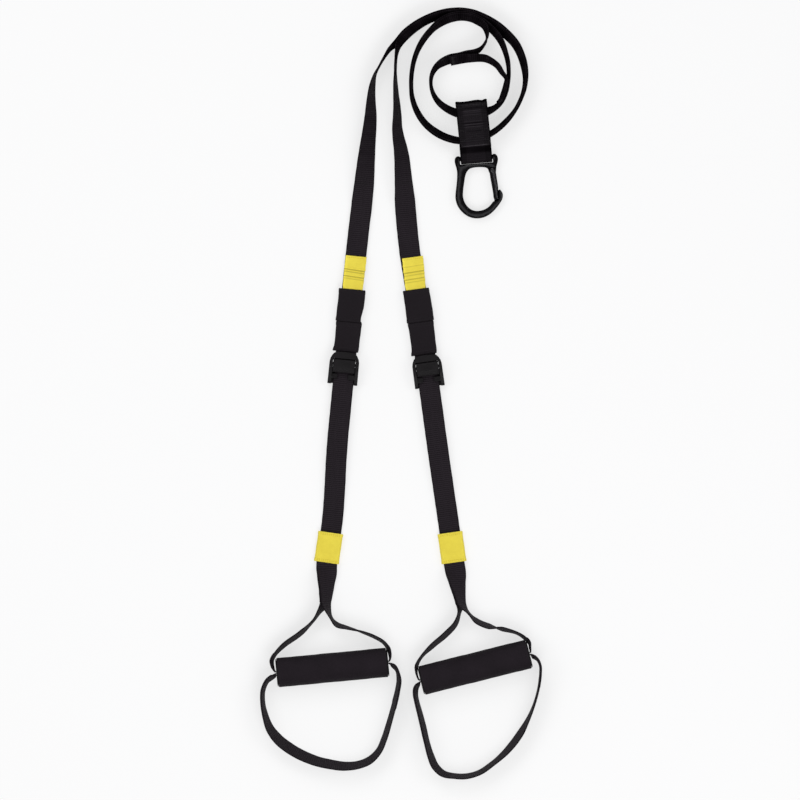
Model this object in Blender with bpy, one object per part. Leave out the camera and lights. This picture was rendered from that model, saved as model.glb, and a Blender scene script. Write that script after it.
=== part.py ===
# Suspension trainer: one long doubled strap that hangs from a webbing anchor and a
# carabiner, with two length-adjustable legs, each ending in a handle and a foot cradle.
# It is modelled as it lies on a table, loosely coiled: +Y is towards the anchor end,
# +Z is up, and the origin is the middle of its footprint on the table.
import bpy
import bmesh
import math
import numpy as np
from mathutils import Vector
from mathutils.geometry import tessellate_polygon

MM = 0.001

# ---------------------------------------------------------------- driving sizes (mm)
GRID = 1.2                 # the straps are laid out on a plan grid of 1.2 mm
GRID_X0, GRID_Y0 = 400.95, 393.51   # plan grid point over the origin (grid v runs downwards)

WEB_W, WEB_T = 25.0, 1.5   # main, adjusting, yoke and cradle webbing
ANCHOR_W, ANCHOR_T = 38.0, 1.8
GAP = 0.3                  # clearance between touching pieces
PAIR = WEB_T + 0.5         # pitch of two strands that run together

ADJ_Z = 8.4                # height of the adjusting strap where it slides
RUN_Z = 3.9                # height of the main strap under it
TAIL_Z = 2.05              # height of the main strap's sewn-back tail

BUCKLE_HALF = 18.0         # cam buckle, half its width
BUCKLE_IN = 13.7           # half the gap between its side walls
BAR_V, BAR_Z, BAR_R = -11.0, 4.0, 1.5
CAM_V, CAM_Z, CAM_PIN_R = -3.0, 12.6, 1.5

GRIP_R, GRIP_L = 17.75, 132.0
GRIP_Z = GRIP_R
CORE_RO, CORE_RI, CORE_L = 14.7, 13.3, 135.0
RING_RO, RING_T = 16.6, 1.0

CARAB_T = 10.0             # carabiner thickness
CARAB_BAR_R = 2.5
CARAB_ANGLE = 4.2          # degrees, its turn on the table
CARAB_AT = (476.3, 158.0)  # plan grid point of its bar's middle


# ---------------------------------------------------------------- scene and materials
for ob in list(bpy.data.objects):
    bpy.data.objects.remove(ob, do_unlink=True)


def material(name, colour, roughness, metallic=0.0):
    m = bpy.data.materials.new(name)
    m.use_nodes = True
    bsdf = m.node_tree.nodes["Principled BSDF"]
    bsdf.inputs["Base Color"].default_value = (*colour, 1.0)
    bsdf.inputs["Roughness"].default_value = roughness
    bsdf.inputs["Metallic"].default_value = metallic
    m.diffuse_color = (*colour, 1.0)
    return m


BLACK_WEB = material("black_webbing", (0.018, 0.016, 0.017), 0.85)
BLACK_SLEEVE = material("black_sleeve", (0.022, 0.019, 0.020), 0.80)
YELLOW = material("yellow_fabric", (0.80, 0.71, 0.06), 0.75)
FOAM = material("black_foam", (0.020, 0.018, 0.020), 0.95)
PLASTIC = material("black_plastic", (0.020, 0.020, 0.020), 0.45)
STEEL = material("steel", (0.45, 0.45, 0.46), 0.35, 1.0)
COATED = material("coated_metal", (0.022, 0.022, 0.024), 0.40, 0.6)


def finish(name, bm, mat, smooth=False):
    """Turns a bmesh in millimetres into a named object in metres."""
    bmesh.ops.recalc_face_normals(bm, faces=bm.faces)
    bmesh.ops.scale(bm, vec=(MM, MM, MM), verts=bm.verts)
    mesh = bpy.data.meshes.new(name)
    bm.to_mesh(mesh)
    bm.free()
    ob = bpy.data.objects.new(name, mesh)
    bpy.context.scene.collection.objects.link(ob)
    ob.data.materials.append(mat)
    if smooth:
        mesh.shade_smooth()
        mesh.set_sharp_from_angle(angle=math.radians(35))
    return ob


def pivot_at(ob, point_mm):
    """Moves an object's origin to a point, without moving its mesh."""
    p = Vector(point_mm) * MM
    for v in ob.data.vertices:
        v.co -= p
    ob.location = p


# ---------------------------------------------------------------- curves and ribbons
def plan(u, v):
    return (u - GRID_X0) * GRID, (GRID_Y0 - v) * GRID


def monotone_slopes(knots, values, closed, period):
    """Slopes that keep a cubic between neighbouring values, without overshoot."""
    n = len(values)
    slopes = []
    for i in range(n):
        if not closed and i in (0, n - 1):
            slopes.append(0.0)
            continue
        j, k = (i - 1) % n, (i + 1) % n
        h0 = (knots[i] - knots[j]) % period if closed else knots[i] - knots[j]
        h1 = (knots[k] - knots[i]) % period if closed else knots[k] - knots[i]
        d0, d1 = (values[i] - values[j]) / h0, (values[k] - values[i]) / h1
        if d0 * d1 <= 0:
            slopes.append(0.0)
        else:
            a, b = 2 * h1 + h0, h1 + 2 * h0
            slopes.append((a + b) / (a / d0 + b / d1))
    return slopes


def curve(points, step=3.0, closed=False, marks=None):
    """Smooth curve through rows of numbers: a centripetal Catmull-Rom curve in the first
    two, and a monotone cubic in the others. marks gathers the index of each row."""
    pts = [np.array(p, dtype=float) for p in points]
    n = len(pts)
    count = n if closed else n - 1
    gaps = [max(math.hypot(*(pts[(i + 1) % n] - pts[i])[:2]), 1e-3) ** 0.5
            for i in range(count)]
    knots = [0.0]
    for g in gaps:
        knots.append(knots[-1] + g)
    period = knots[-1] if closed else None
    extra = [monotone_slopes(knots[:n], [p[c] for p in pts], closed, period)
             for c in range(2, len(pts[0]))]
    out = []
    for i in range(count):
        if marks is not None:
            marks.append(len(out))
        j = (i + 1) % n
        if closed:
            quad = [pts[(i + k) % n] for k in (-1, 0, 1, 2)]
        else:
            quad = [pts[i - 1] if i > 0 else 2 * pts[0] - pts[1], pts[i], pts[i + 1],
                    pts[i + 2] if i + 2 < n else 2 * pts[-1] - pts[-2]]
        t = [0.0]
        for a, b in zip(quad, quad[1:]):
            t.append(t[-1] + max(math.hypot(b[0] - a[0], b[1] - a[1]), 1e-3) ** 0.5)
        steps = max(1, math.ceil(math.hypot(*(quad[2] - quad[1])[:2]) / step))
        for k in range(steps):
            f = k / steps
            x = t[1] + (t[2] - t[1]) * f
            a = [(quad[m] * (t[m + 1] - x) + quad[m + 1] * (x - t[m])) / (t[m + 1] - t[m])
                 for m in range(3)]
            b = [(a[m] * (t[m + 2] - x) + a[m + 1] * (x - t[m])) / (t[m + 2] - t[m])
                 for m in range(2)]
            row = (b[0] * (t[2] - x) + b[1] * (x - t[1])) / (t[2] - t[1])
            for c, slopes in enumerate(extra, 2):
                h = gaps[i]
                row[c] = ((2 * f ** 3 - 3 * f ** 2 + 1) * pts[i][c]
                          + (f ** 3 - 2 * f ** 2 + f) * h * slopes[i]
                          + (-2 * f ** 3 + 3 * f ** 2) * pts[j][c]
                          + (f ** 3 - f ** 2) * h * slopes[j])
            out.append(row)
    if not closed:
        if marks is not None:
            marks.append(len(out))
        out.append(pts[-1])
    return out


def rest_height(roll, extra=0.0):
    """Height of a strap's middle when its lower edge rests on the table. roll is 0 for
    a strap on its edge and 90 or -90 for a flat one."""
    a = math.radians(abs(roll))
    return 0.5 * WEB_W * math.cos(a) + (0.5 * WEB_T + extra) * math.sin(a) + GAP


def stations(samples, closed=False):
    """Rows of (x, y, roll, z) to frames (middle, across, face normal)."""
    out = []
    n = len(samples)
    for i, s in enumerate(samples):
        a = samples[(i - 1) % n] if closed or i > 0 else samples[i]
        b = samples[(i + 1) % n] if closed or i < n - 1 else samples[i]
        t = Vector((b[0] - a[0], b[1] - a[1], b[3] - a[3])).normalized()
        left = Vector((-t.y, t.x, 0)).normalized()
        r = math.radians(s[2])
        w = math.cos(r) * Vector((0, 0, 1)) + math.sin(r) * left
        w = (w - t * t.dot(w)).normalized()
        out.append((Vector((s[0], s[1], s[3])), w, t.cross(w)))
    return out


def thin_out(frames, turn=7.0, longest=45.0, closed=False, twist=4.5):
    """Keeps only the frames that the strap's bends and twists need."""
    keep = [frames[0]]
    turned = twisted = 0.0
    for i in range(1, len(frames) - (0 if closed else 1)):
        p, w, n = frames[i]
        q, v, m = frames[i - 1]
        twist_here = math.degrees(w.angle(v, 0))
        turn_here = max(math.degrees(n.angle(m, 0)), twist_here)
        if turned < 0.6 <= turned + turn_here and (q - keep[-1][0]).length > 5.0:
            keep.append(frames[i - 1])      # a straight stretch ends here
            turned = twisted = 0.0
        turned += turn_here
        twisted += twist_here
        far = (p - keep[-1][0]).length
        if turned >= turn or twisted >= twist or far >= longest:
            keep.append(frames[i])
            turned = twisted = 0.0
    if not closed:
        if (frames[-1][0] - keep[-1][0]).length < 1.5 and len(keep) > 1:
            keep.pop()
        keep.append(frames[-1])
    return keep


def ribbon(name, frames, width, thick, mat, closed=False, turned=None):
    """Flat strap along frames. Where it twists, both its faces are split along the same
    diagonal, so it keeps its thickness. From frame turned on it runs back beside itself
    and takes the other diagonal, which keeps the gap between the two strands."""
    bm = bmesh.new()
    rings = []
    for p, w, n in frames:
        a, b = w * (width / 2), n * (thick / 2)
        rings.append([bm.verts.new(p + s) for s in (a + b, -a + b, -a - b, a - b)])
    pairs = list(zip(rings, rings[1:])) + ([(rings[-1], rings[0])] if closed else [])
    for i, (r0, r1) in enumerate(pairs):
        back = turned is not None and i >= turned
        for k in range(4):
            a, b, c, d = r0[k], r0[(k + 1) % 4], r1[(k + 1) % 4], r1[k]
            off = (b.co - a.co).cross(c.co - a.co).normalized().dot(d.co - a.co)
            if abs(off) < 0.002:
                bm.faces.new((a, b, c, d))
            elif (k == 2) != back:
                bm.faces.new((a, b, d))
                bm.faces.new((b, c, d))
            else:
                bm.faces.new((a, b, c))
                bm.faces.new((a, c, d))
    if not closed:
        bm.faces.new(rings[0])
        bm.faces.new(rings[-1])
    return finish(name, bm, mat)


def beside(frames, offset):
    return [(p + n * offset, w, n) for p, w, n in frames]


def as_rows(frames, every=12.0):
    """Frames back to rows of (x, y, roll, z), about every so many millimetres."""
    rows = []
    last = None
    end = frames[-1][0]
    for i, (p, w, n) in enumerate(frames):
        close = last is not None and (p - last).length < every
        if i != len(frames) - 1 and (close or (end - p).length < every * 0.6 and i > 0):
            continue
        q = frames[min(i + 1, len(frames) - 1)][0] - frames[max(i - 1, 0)][0]
        left = Vector((-q.y, q.x, 0)).normalized()
        rows.append((p.x, p.y, math.degrees(math.atan2(w.dot(left), w.z)), p.z))
        last = p
    return rows


def grid_rows(table, extra=0.0):
    """Rows of (grid u, grid v, roll, lift) to (x, y, roll, z)."""
    return [(*plan(u, v), roll, rest_height(roll, extra) + lift)
            for u, v, roll, lift in table]


# ---------------------------------------------------------------- straight leg axes
class Leg:
    """The line that a leg's buckle, sleeves and adjusting strap follow. Local v is the
    distance down the leg from the buckle's middle and local u is to its right."""

    def __init__(self, side, u0, slope, buckle_v, buckle_shift):
        self.side = side
        self.u0, self.slope = u0, slope
        d = Vector((slope, -1, 0)).normalized()
        self.down = d
        self.right = Vector((-d.y, d.x, 0))
        self.buckle_shift = buckle_shift
        self.mid = Vector((*self.on(buckle_v), 0))

    def on(self, v):
        return plan(self.u0 + self.slope * (v - 256), v)

    def along(self, v):
        """Local v of the leg's point at plan grid row v."""
        return (Vector((*self.on(v), 0)) - self.mid).dot(self.down)

    def at(self, u, v, z):
        return self.mid + self.right * u + self.down * v + Vector((0, 0, z))

    def buckle(self, u, v, z):
        return self.at(u + self.buckle_shift, v, z)


LEFT = Leg("left", 355.4, -0.0967, 368.8, -0.9)
RIGHT = Leg("right", 411.5, 0.1361, 371.6, 0.8)


def smoothstep(x, lo, hi):
    t = min(1.0, max(0.0, (x - lo) / (hi - lo)))
    return t * t * (3 - 2 * t)


def leg_end(leg):
    """Frames of the main strap from its sewn-back tail, round the buckle's bar and up
    to the top of the sleeved length."""
    across = -leg.right
    wrap = BAR_R + GAP + WEB_T / 2
    points = []
    for v in (leg.along(325.5), -30.0, -24.0, -19.0, -15.0):
        z = TAIL_Z + (BAR_Z - wrap - TAIL_Z) * smoothstep(v, -22.0, BAR_V)
        points.append(leg.at(0, v, z))
    for k in range(9):
        a = math.radians(-90 + 180 * k / 8)
        points.append(leg.at(0, BAR_V + wrap * math.cos(a), BAR_Z + wrap * math.sin(a)))
    for v in (-15.0, -19.0, -23.0, -27.0, -31.0, -36.0, leg.along(325.0), leg.along(300.0)):
        z = RUN_Z + (BAR_Z + wrap - RUN_Z) * smoothstep(v, -36.0, BAR_V)
        points.append(leg.at(0, v, z))
    frames = []
    for i, p in enumerate(points):
        a, b = points[max(i - 1, 0)], points[min(i + 1, len(points) - 1)]
        t = (b - a).normalized()
        frames.append((p, across, t.cross(across)))
    return frames


# ---------------------------------------------------------------- main strap
# Pair of strands in the coil: (grid u, grid v, roll, lift), from where the two legs
# meet, clockwise and inwards. The strands stand on edge and lean outwards a little.
COIL = [
    (399.1, 41.9, 22, 0), (405.4, 34.6, 24, 0), (414.8, 26.8, 22.5, 0),
    (425.4, 20.4, 21.5, 0), (437.2, 15.6, 21, 0), (449.1, 13.0, 22, 0),
    (460.5, 12.3, 22, 0), (471.9, 14.0, 22, 0), (483.8, 18.6, 22, 0),
    (495.6, 25.0, 21, 0), (506.4, 34.2, 21, 0), (515.5, 44.2, 19, 0),
    (521.2, 55.6, 16, 0), (524.3, 66.4, 13.5, 0), (525.5, 77.0, 9.5, 0),
    (524.4, 88.1, 6, 0), (520.8, 99.1, 4, 0), (515.2, 109.9, 5, 0),
    (507.6, 119.7, 8, 0), (498.4, 128.4, 9.5, 0), (488.0, 135.1, 11, 0),
    (475.3, 139.4, 12.5, 0), (461.9, 140.8, 14, 0), (449.0, 138.4, 15, 0),
    (436.7, 132.8, 15, 0), (425.4, 123.7, 13, 0), (417.0, 111.4, 10, 0),
    (412.4, 98.5, 7, 0), (411.2, 86.0, 4.5, 0), (411.6, 74.0, 5, 0),
    (413.6, 62.1, 6.5, 0), (417.6, 50.3, 8, 0), (423.0, 40.3, 10.5, 0),
    (430.8, 30.6, 12, 0), (440.5, 22.4, 18, 0), (450.2, 17.7, 21.5, 0),
    (461.0, 15.9, 22, 0), (471.9, 17.4, 22, 0), (481.3, 21.9, 21, 0),
]
LEFT_LEG = [
    (356.1, 254.0, 90, 2.85), (359.1, 227.1, 90, 2.85), (361.6, 206.6, 90, 2.85),
    (362.4, 198.6, 84, 2.2), (363.6, 189.0, 76, 1.1), (364.8, 176.0, 67, 0.3),
    (366.2, 160.0, 57, 0), (367.8, 144.0, 47, 0), (369.4, 130.0, 41, 0),
    (370.6, 116.0, 34, 0), (370.9, 104.0, 27, 0), (371.4, 94.0, 21, 0),
    (372.6, 84.0, 14.5, 0), (375.0, 74.5, 7, 0), (378.8, 67.1, 4, 0),
    (383.9, 58.0, 5.5, 0), (390.1, 48.8, 11, 0),
]
RIGHT_LEG = [
    (410.0, 254.2, 90, 2.85), (407.1, 228.0, 90, 2.85), (405.6, 210.0, 90, 2.85),
    (405.0, 202.0, 81, 2.2), (404.2, 191.0, 66, 1.0), (403.1, 175.0, 55, 0.3),
    (402.0, 160.0, 47, 0), (400.4, 148.0, 40.5, 0), (398.5, 138.0, 34, 0),
    (397.2, 128.0, 28, 0), (397.2, 116.0, 23.5, 0), (396.9, 106.0, 19, 0),
    (396.0, 94.0, 13.5, 0), (395.4, 82.0, 10, 0), (395.4, 70.0, 5.5, 0),
    (395.8, 60.0, 5.5, 0), (397.0, 51.0, 10, 0),
]
# the outer strand after the split: right side of the ring, down to the anchor
STRAND_OUT = [
    (494.4, 32.1, 19, 0), (500.8, 40.8, 17, 0), (505.0, 51.0, 13.5, 0),
    (507.7, 61.0, 11.5, 0), (508.7, 71.0, 9, 0), (508.2, 81.0, 9.5, 0),
    (506.0, 91.4, 11.5, 0), (501.6, 101.0, 12, 0.5), (495.0, 107.6, 15, 1.8),
    (488.0, 111.0, 22, 2.3), (481.0, 113.2, 28, 2.3),
]
# the inner strand after the split: it turns back over the ring and down its left side
STRAND_IN = [
    (485.3, 27.7, 15.5, 0), (487.2, 35.0, 6, 0), (485.5, 42.1, -3, 0),
    (481.0, 48.3, -9.5, 0), (474.8, 52.3, -18, 0), (467.2, 54.9, -25, 0),
    (459.1, 57.4, -27, 0), (451.5, 58.7, -27, 0), (444.0, 61.5, -24, 0),
    (436.6, 66.7, -16, 0), (431.9, 74.8, -10, 0), (430.9, 84.0, -7.5, 0),
    (433.2, 93.6, -10.5, 0), (438.7, 102.1, -15, 0.3), (447.0, 108.6, -19.5, 1.6),
    (456.4, 112.8, -23.5, 2.3), (464.5, 114.2, -29, 2.3),
]
RING_LOW = (472.5, 114.4, 31, 2.3)

pair = stations(curve(grid_rows(COIL, PAIR / 2), 2.5))
coil = thin_out(pair)      # both strands keep the same stations, so they stay parallel


def joined(head, middle, tail, offset):
    """Frames of a strap that runs along head rows, beside the pair's frames and along
    tail rows, with the bends carried on smoothly where they meet."""
    near = as_rows(beside(pair, offset), 8.0)
    marks = []
    rows = head + near[:4]
    first = stations(curve(rows, 2.5, marks=marks))[:marks[len(head)] - 1]
    marks = []
    rows = near[-4:] + tail
    last = stations(curve(rows, 2.5, marks=marks))[marks[3] + 2:]
    return first, beside(middle, offset), last


def strand(leg, leg_table, offset, end_table, low_sign):
    u, v, roll, lift = RING_LOW
    low = (*plan(u, v), low_sign * roll, rest_height(roll) + lift)
    first, middle, last = joined(grid_rows(leg_table), coil, grid_rows(end_table) + [low],
                                 offset)
    # the two strands part slowly, so they keep more frames there
    parting = thin_out(last[:16], 3.0)[:-1] + thin_out(last[15:])
    return leg_end(leg) + thin_out(first) + middle + parting, last


left_half, left_run = strand(LEFT, LEFT_LEG, -PAIR / 2, STRAND_OUT, 1)
right_half, right_run = strand(RIGHT, RIGHT_LEG, PAIR / 2, STRAND_IN, -1)
# run the second half backwards: its direction of travel and face normal turn round
right_back = [(p, w, -n) for p, w, n in reversed(right_half)][1:]
ribbon("main_strap", left_half + right_back, WEB_W, WEB_T, BLACK_WEB,
       turned=len(left_half) - 1)


# ---------------------------------------------------------------- lock strap of the ring
# It is sewn on the ring's inner face and closes it between the two strands.
def slice_of(frames, keep):
    return [f for f in frames if keep(f[0])]


x_left, _ = plan(449.5, 0)
x_mid, _ = plan(461.8, 0)
_, y_top = plan(0, 78.0)
_, y_low = plan(0, 104.0)
inner_side = slice_of(right_run, lambda p: x_left <= p.x <= x_mid
                      and plan(0, 70.0)[1] < p.y < plan(0, 52.0)[1])
outer_side = slice_of(left_run, lambda p: y_low <= p.y <= y_top and p.x > plan(490, 0)[0])
# frames are turned so that both ends travel clockwise round the ring
lock_start = [(p + n * (PAIR + 0.5), w, n) for p, w, n in
              [(p, w, -n) for p, w, n in reversed(inner_side)]]
lock_end = [(p + n * (PAIR + 0.5), w, n) for p, w, n in outer_side]
LOCK_MID = [
    (470.0, 58.2, 23, 0), (478.1, 57.8, 22, 0), (485.1, 58.4, 21, 0),
    (491.4, 61.2, 17, 0), (497.6, 65.9, 15, 0), (501.6, 71.9, 12.5, 0),
]
lock_rows = as_rows(lock_start, 5.0) + grid_rows(LOCK_MID) + as_rows(lock_end, 5.0)
ribbon("ring_lock_strap", thin_out(stations(curve(lock_rows, 2.5)), 6.0),
       WEB_W, WEB_T, BLACK_WEB)


# ---------------------------------------------------------------- anchor strap
CARAB_O = Vector((*plan(*CARAB_AT), CARAB_T / 2))
ca = math.radians(CARAB_ANGLE)
CARAB_R = Vector((math.cos(ca), math.sin(ca), 0))    # along its bar
CARAB_D = Vector((math.sin(ca), -math.cos(ca), 0))   # from its bar to its far end


def anchor_frame(s):
    """Middle point and across direction of the anchor strap, s up from the bar."""
    k = s / 68.0
    lean = math.radians(4.2 + 2.4 * k)
    across = Vector((math.cos(lean), math.sin(lean), 0))
    x = -0.0733 * s - 0.0003 * s * s
    p = Vector((CARAB_O.x + x, CARAB_O.y + s * 0.9965, 0))
    return p, across


def anchor_loop():
    wrap = CARAB_BAR_R + GAP + ANCHOR_T / 2
    lay = (ANCHOR_T + GAP) / 2
    # middle line between the two layers, from near the bar to where the loop opens
    middle = [(7.6, 16.0), (10.8, 21.6), (14.2, 26.2), (18.2, 28.2), (24.0, 28.6),
              (30.0, 28.6)]
    # upper layer over the ring strap, down to the fold and back under it
    open_loop = [(36.0, 29.7), (43.0, 29.8), (50.0, 28.8), (57.4, 24.8), (63.0, 17.6),
                 (66.8, 10.0), (68.0, 5.0), (66.6, 2.0), (63.0, 1.2), (57.0, 1.2),
                 (50.5, 1.6), (45.4, 4.2), (41.9, 10.0), (39.4, 17.0), (36.6, 23.6)]
    mid = curve([(a, b) for a, b in middle], 2.5)
    top, low = [], []
    for i, m in enumerate(mid):
        a, b = mid[max(i - 1, 0)], mid[min(i + 1, len(mid) - 1)]
        d = (b - a) / np.linalg.norm(b - a)
        n = np.array((-d[1], d[0]))
        top.append(m + n * lay)
        low.append(m - n * lay)
    phi = math.degrees(math.atan2(16.0 - CARAB_T / 2, 7.6))
    start, end = phi + 100.0, phi + 260.0
    turn = [(wrap * math.cos(math.radians(start + (end - start) * k / 8)),
             CARAB_T / 2 + wrap * math.sin(math.radians(start + (end - start) * k / 8)))
            for k in range(9)]
    path = list(reversed(top)) + [np.array(t) for t in turn] + low
    path += [np.array(q) for q in reversed(open_loop)]
    ring = curve([(float(q[0]), float(q[1])) for q in path], 1.5, closed=True)
    frames = []
    n = len(ring)
    for i, q in enumerate(ring):
        a, b = ring[i - 1], ring[(i + 1) % n]
        p, across = anchor_frame(float(q[0]))
        pa, _ = anchor_frame(float(a[0]))
        pb, _ = anchor_frame(float(b[0]))
        t = Vector((pb.x - pa.x, pb.y - pa.y, float(b[1] - a[1]))).normalized()
        w = (across - t * t.dot(across)).normalized()
        p.z = float(q[1])
        frames.append((p, w, t.cross(w)))
    return frames


ribbon("anchor_strap", thin_out(anchor_loop(), 9.0, 12.0, closed=True),
       ANCHOR_W, ANCHOR_T, BLACK_WEB, closed=True)


# ---------------------------------------------------------------- plates and turnings
def signed_area(loop):
    return 0.5 * sum(a[0] * b[1] - b[0] * a[1] for a, b in zip(loop, loop[1:] + loop[:1]))


def inset_loop(loop, d):
    """Moves a plan loop to its left by d (inwards when it runs anticlockwise)."""
    n = len(loop)
    out = []
    for i in range(n):
        a, b, c = Vector(loop[i - 1]), Vector(loop[i]), Vector(loop[(i + 1) % n])
        e, f = (b - a).normalized(), (c - b).normalized()
        m = Vector((-(e.y + f.y), e.x + f.x))
        m.normalize()
        out.append(tuple(b + m * (d / max(0.5, Vector((-e.y, e.x)).dot(m)))))
    return out


def plate_mesh(place, outer, holes, levels):
    """Closed plate from plan loops. levels are (z, inset) from bottom to top."""
    loops = [outer if signed_area(outer) > 0 else outer[::-1]]
    loops += [h if signed_area(h) < 0 else h[::-1] for h in holes]
    bm = bmesh.new()
    stack = []
    for z, d in levels:
        stack.append([[bm.verts.new(place(x, y, z)) for x, y in inset_loop(lp, d)]
                      for lp in loops])
    for low, high in zip(stack, stack[1:]):
        for a, b in zip(low, high):
            for i in range(len(a)):
                j = (i + 1) % len(a)
                bm.faces.new((a[i], a[j], b[j], b[i]))
    for k, flip in ((0, True), (-1, False)):
        d = levels[k][1]
        flat = [[Vector((x, y, 0)) for x, y in inset_loop(lp, d)] for lp in loops]
        verts = [v for lp in stack[k] for v in lp]
        for tri in tessellate_polygon(flat):
            face = [verts[i] for i in tri]
            bm.faces.new(face[::-1] if flip else face)
    return bm


def smooth_loop(points, step):
    return [(float(p[0]), float(p[1])) for p in curve(points, step, closed=True)]


def box_mesh(place, lo, hi):
    bm = bmesh.new()
    c = [bm.verts.new(place(x, y, z)) for z in (lo[2], hi[2])
         for x, y in ((lo[0], lo[1]), (hi[0], lo[1]), (hi[0], hi[1]), (lo[0], hi[1]))]
    bm.faces.new(c[3::-1])
    bm.faces.new(c[4:])
    for i in range(4):
        j = (i + 1) % 4
        bm.faces.new((c[i], c[j], c[j + 4], c[i + 4]))
    return bm


def rod_mesh(a, b, r, sides=16):
    """Round rod from a to b."""
    a, b = Vector(a), Vector(b)
    t = (b - a).normalized()
    x = t.orthogonal().normalized()
    y = t.cross(x)
    bm = bmesh.new()
    rings = [[bm.verts.new(p + (x * math.cos(k) + y * math.sin(k)) * r)
              for k in (2 * math.pi * i / sides for i in range(sides))] for p in (a, b)]
    for i in range(sides):
        j = (i + 1) % sides
        bm.faces.new((rings[0][i], rings[0][j], rings[1][j], rings[1][i]))
    bm.faces.new(rings[0][::-1])
    bm.faces.new(rings[1])
    return bm


def turned_mesh(a, axis, profile, sides):
    """Ring or sleeve turned about an axis; profile is a closed list of (along, radius)."""
    axis = axis.normalized()
    x = Vector((0, 0, 1))
    y = axis.cross(x)
    bm = bmesh.new()
    rings = []
    for i in range(sides):
        k = 2 * math.pi * (i + 0.5) / sides
        d = x * math.cos(k) + y * math.sin(k)
        rings.append([bm.verts.new(a + axis * s + d * r) for s, r in profile])
    n = len(profile)
    for i in range(sides):
        r0, r1 = rings[i], rings[(i + 1) % sides]
        for k in range(n):
            j = (k + 1) % n
            bm.faces.new((r0[k], r0[j], r1[j], r1[k]))
    return bm


def cut(ob, other, operation):
    """Applies a Boolean modifier and removes its operand."""
    mod = ob.modifiers.new(operation.lower(), "BOOLEAN")
    mod.operation = operation
    mod.solver = "EXACT"
    mod.object = other
    graph = bpy.context.evaluated_depsgraph_get()
    graph.update()
    mesh = bpy.data.meshes.new_from_object(ob.evaluated_get(graph))
    mats = list(ob.data.materials)
    ob.modifiers.clear()
    ob.data = mesh
    if not mesh.materials:
        for m in mats:
            mesh.materials.append(m)
    bpy.data.objects.remove(other, do_unlink=True)


def flat(ob):
    for p in ob.data.polygons:
        p.use_smooth = False


# ---------------------------------------------------------------- carabiner
def carab(u, v, z):
    return CARAB_O + CARAB_R * u + CARAB_D * v + Vector((0, 0, z - CARAB_T / 2))


PIVOT = (18.4, 17.0)        # gate hinge, in the carabiner's own plan
# outline, clockwise from the top left ear round the bottom to the nose
body_line = (
    [(-19.8, -3.4), (-22.6, -3.7), (-25.0, -2.2), (-26.2, 1.2), (-26.0, 5.0),
     (-25.0, 9.5), (-24.3, 14.5), (-24.8, 22.0), (-26.2, 31.0), (-27.9, 40.0),
     (-28.5, 46.5), (-27.4, 53.5), (-24.2, 60.2), (-18.8, 66.4), (-11.8, 70.8),
     (-3.6, 72.5), (4.4, 71.6), (11.6, 68.4), (18.4, 62.9), (23.6, 57.2),
     (27.4, 51.8), (28.5, 48.0), (28.5, 44.8), (27.3, 42.0), (25.5, 39.6),
     (24.4, 39.8), (24.0, 42.4), (23.8, 45.4), (23.5, 48.8), (22.5, 52.0), (19.6, 53.2),
     (16.6, 53.4), (13.6, 56.6), (10.0, 59.8), (4.0, 62.6), (-3.4, 63.4), (-9.8, 61.6),
     (-14.8, 57.2), (-18.0, 51.2), (-19.2, 44.8), (-18.2, 36.0), (-16.4, 27.6),
     (-14.9, 21.2), (-12.6, 16.0), (-8.6, 12.4), (-3.4, 11.3), (3.4, 11.3),
     (8.6, 11.9), (11.8, 13.0)]
)
ear_line = [(13.2, 15.0), (14.0, 18.4), (16.2, 20.9), (18.9, 21.3), (21.6, 20.0),
            (22.6, 17.0), (23.4, 12.0), (25.0, 7.4), (25.9, 3.2), (25.2, -0.8),
            (22.8, -3.4), (19.8, -3.4)]
outline = curve([(a, b) for a, b in body_line + ear_line], 3.4)
outline = [(float(a), float(b)) for a, b in outline] + \
    [(19.8, 6.6), (-19.8, 6.6)]
levels = [(0.0, 1.3), (0.5, 0.5), (1.6, 0.0), (8.4, 0.0), (9.5, 0.5), (10.0, 1.3)]
carabiner = finish("carabiner_body", plate_mesh(carab, outline, [], levels), COATED)
bar = finish("bar_blank", rod_mesh(carab(-21.5, 0, 5), carab(21.5, 0, 5), CARAB_BAR_R, 16),
             COATED)
cut(carabiner, bar, "UNION")
# the hinge end is thinned to a tongue inside the gate's fork
for z0, z1 in ((-1.0, 2.6), (5.4, 11.0)):
    block = finish("tongue_blank", plate_mesh(
        carab, smooth_loop([(PIVOT[0] + 5.3 * math.cos(k), PIVOT[1] + 5.3 * math.sin(k))
                            for k in (math.radians(30 * i) for i in range(12))], 9.0),
        [], [(z0, 0.0), (z1, 0.0)]), COATED)
    cut(carabiner, block, "DIFFERENCE")
hole = finish("hole_blank", rod_mesh(carab(*PIVOT, -2), carab(*PIVOT, 12), 1.6, 14), COATED)
cut(carabiner, hole, "DIFFERENCE")
carabiner.data.shade_smooth()
carabiner.data.set_sharp_from_angle(angle=math.radians(40))
pivot_at(carabiner, CARAB_O)

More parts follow.
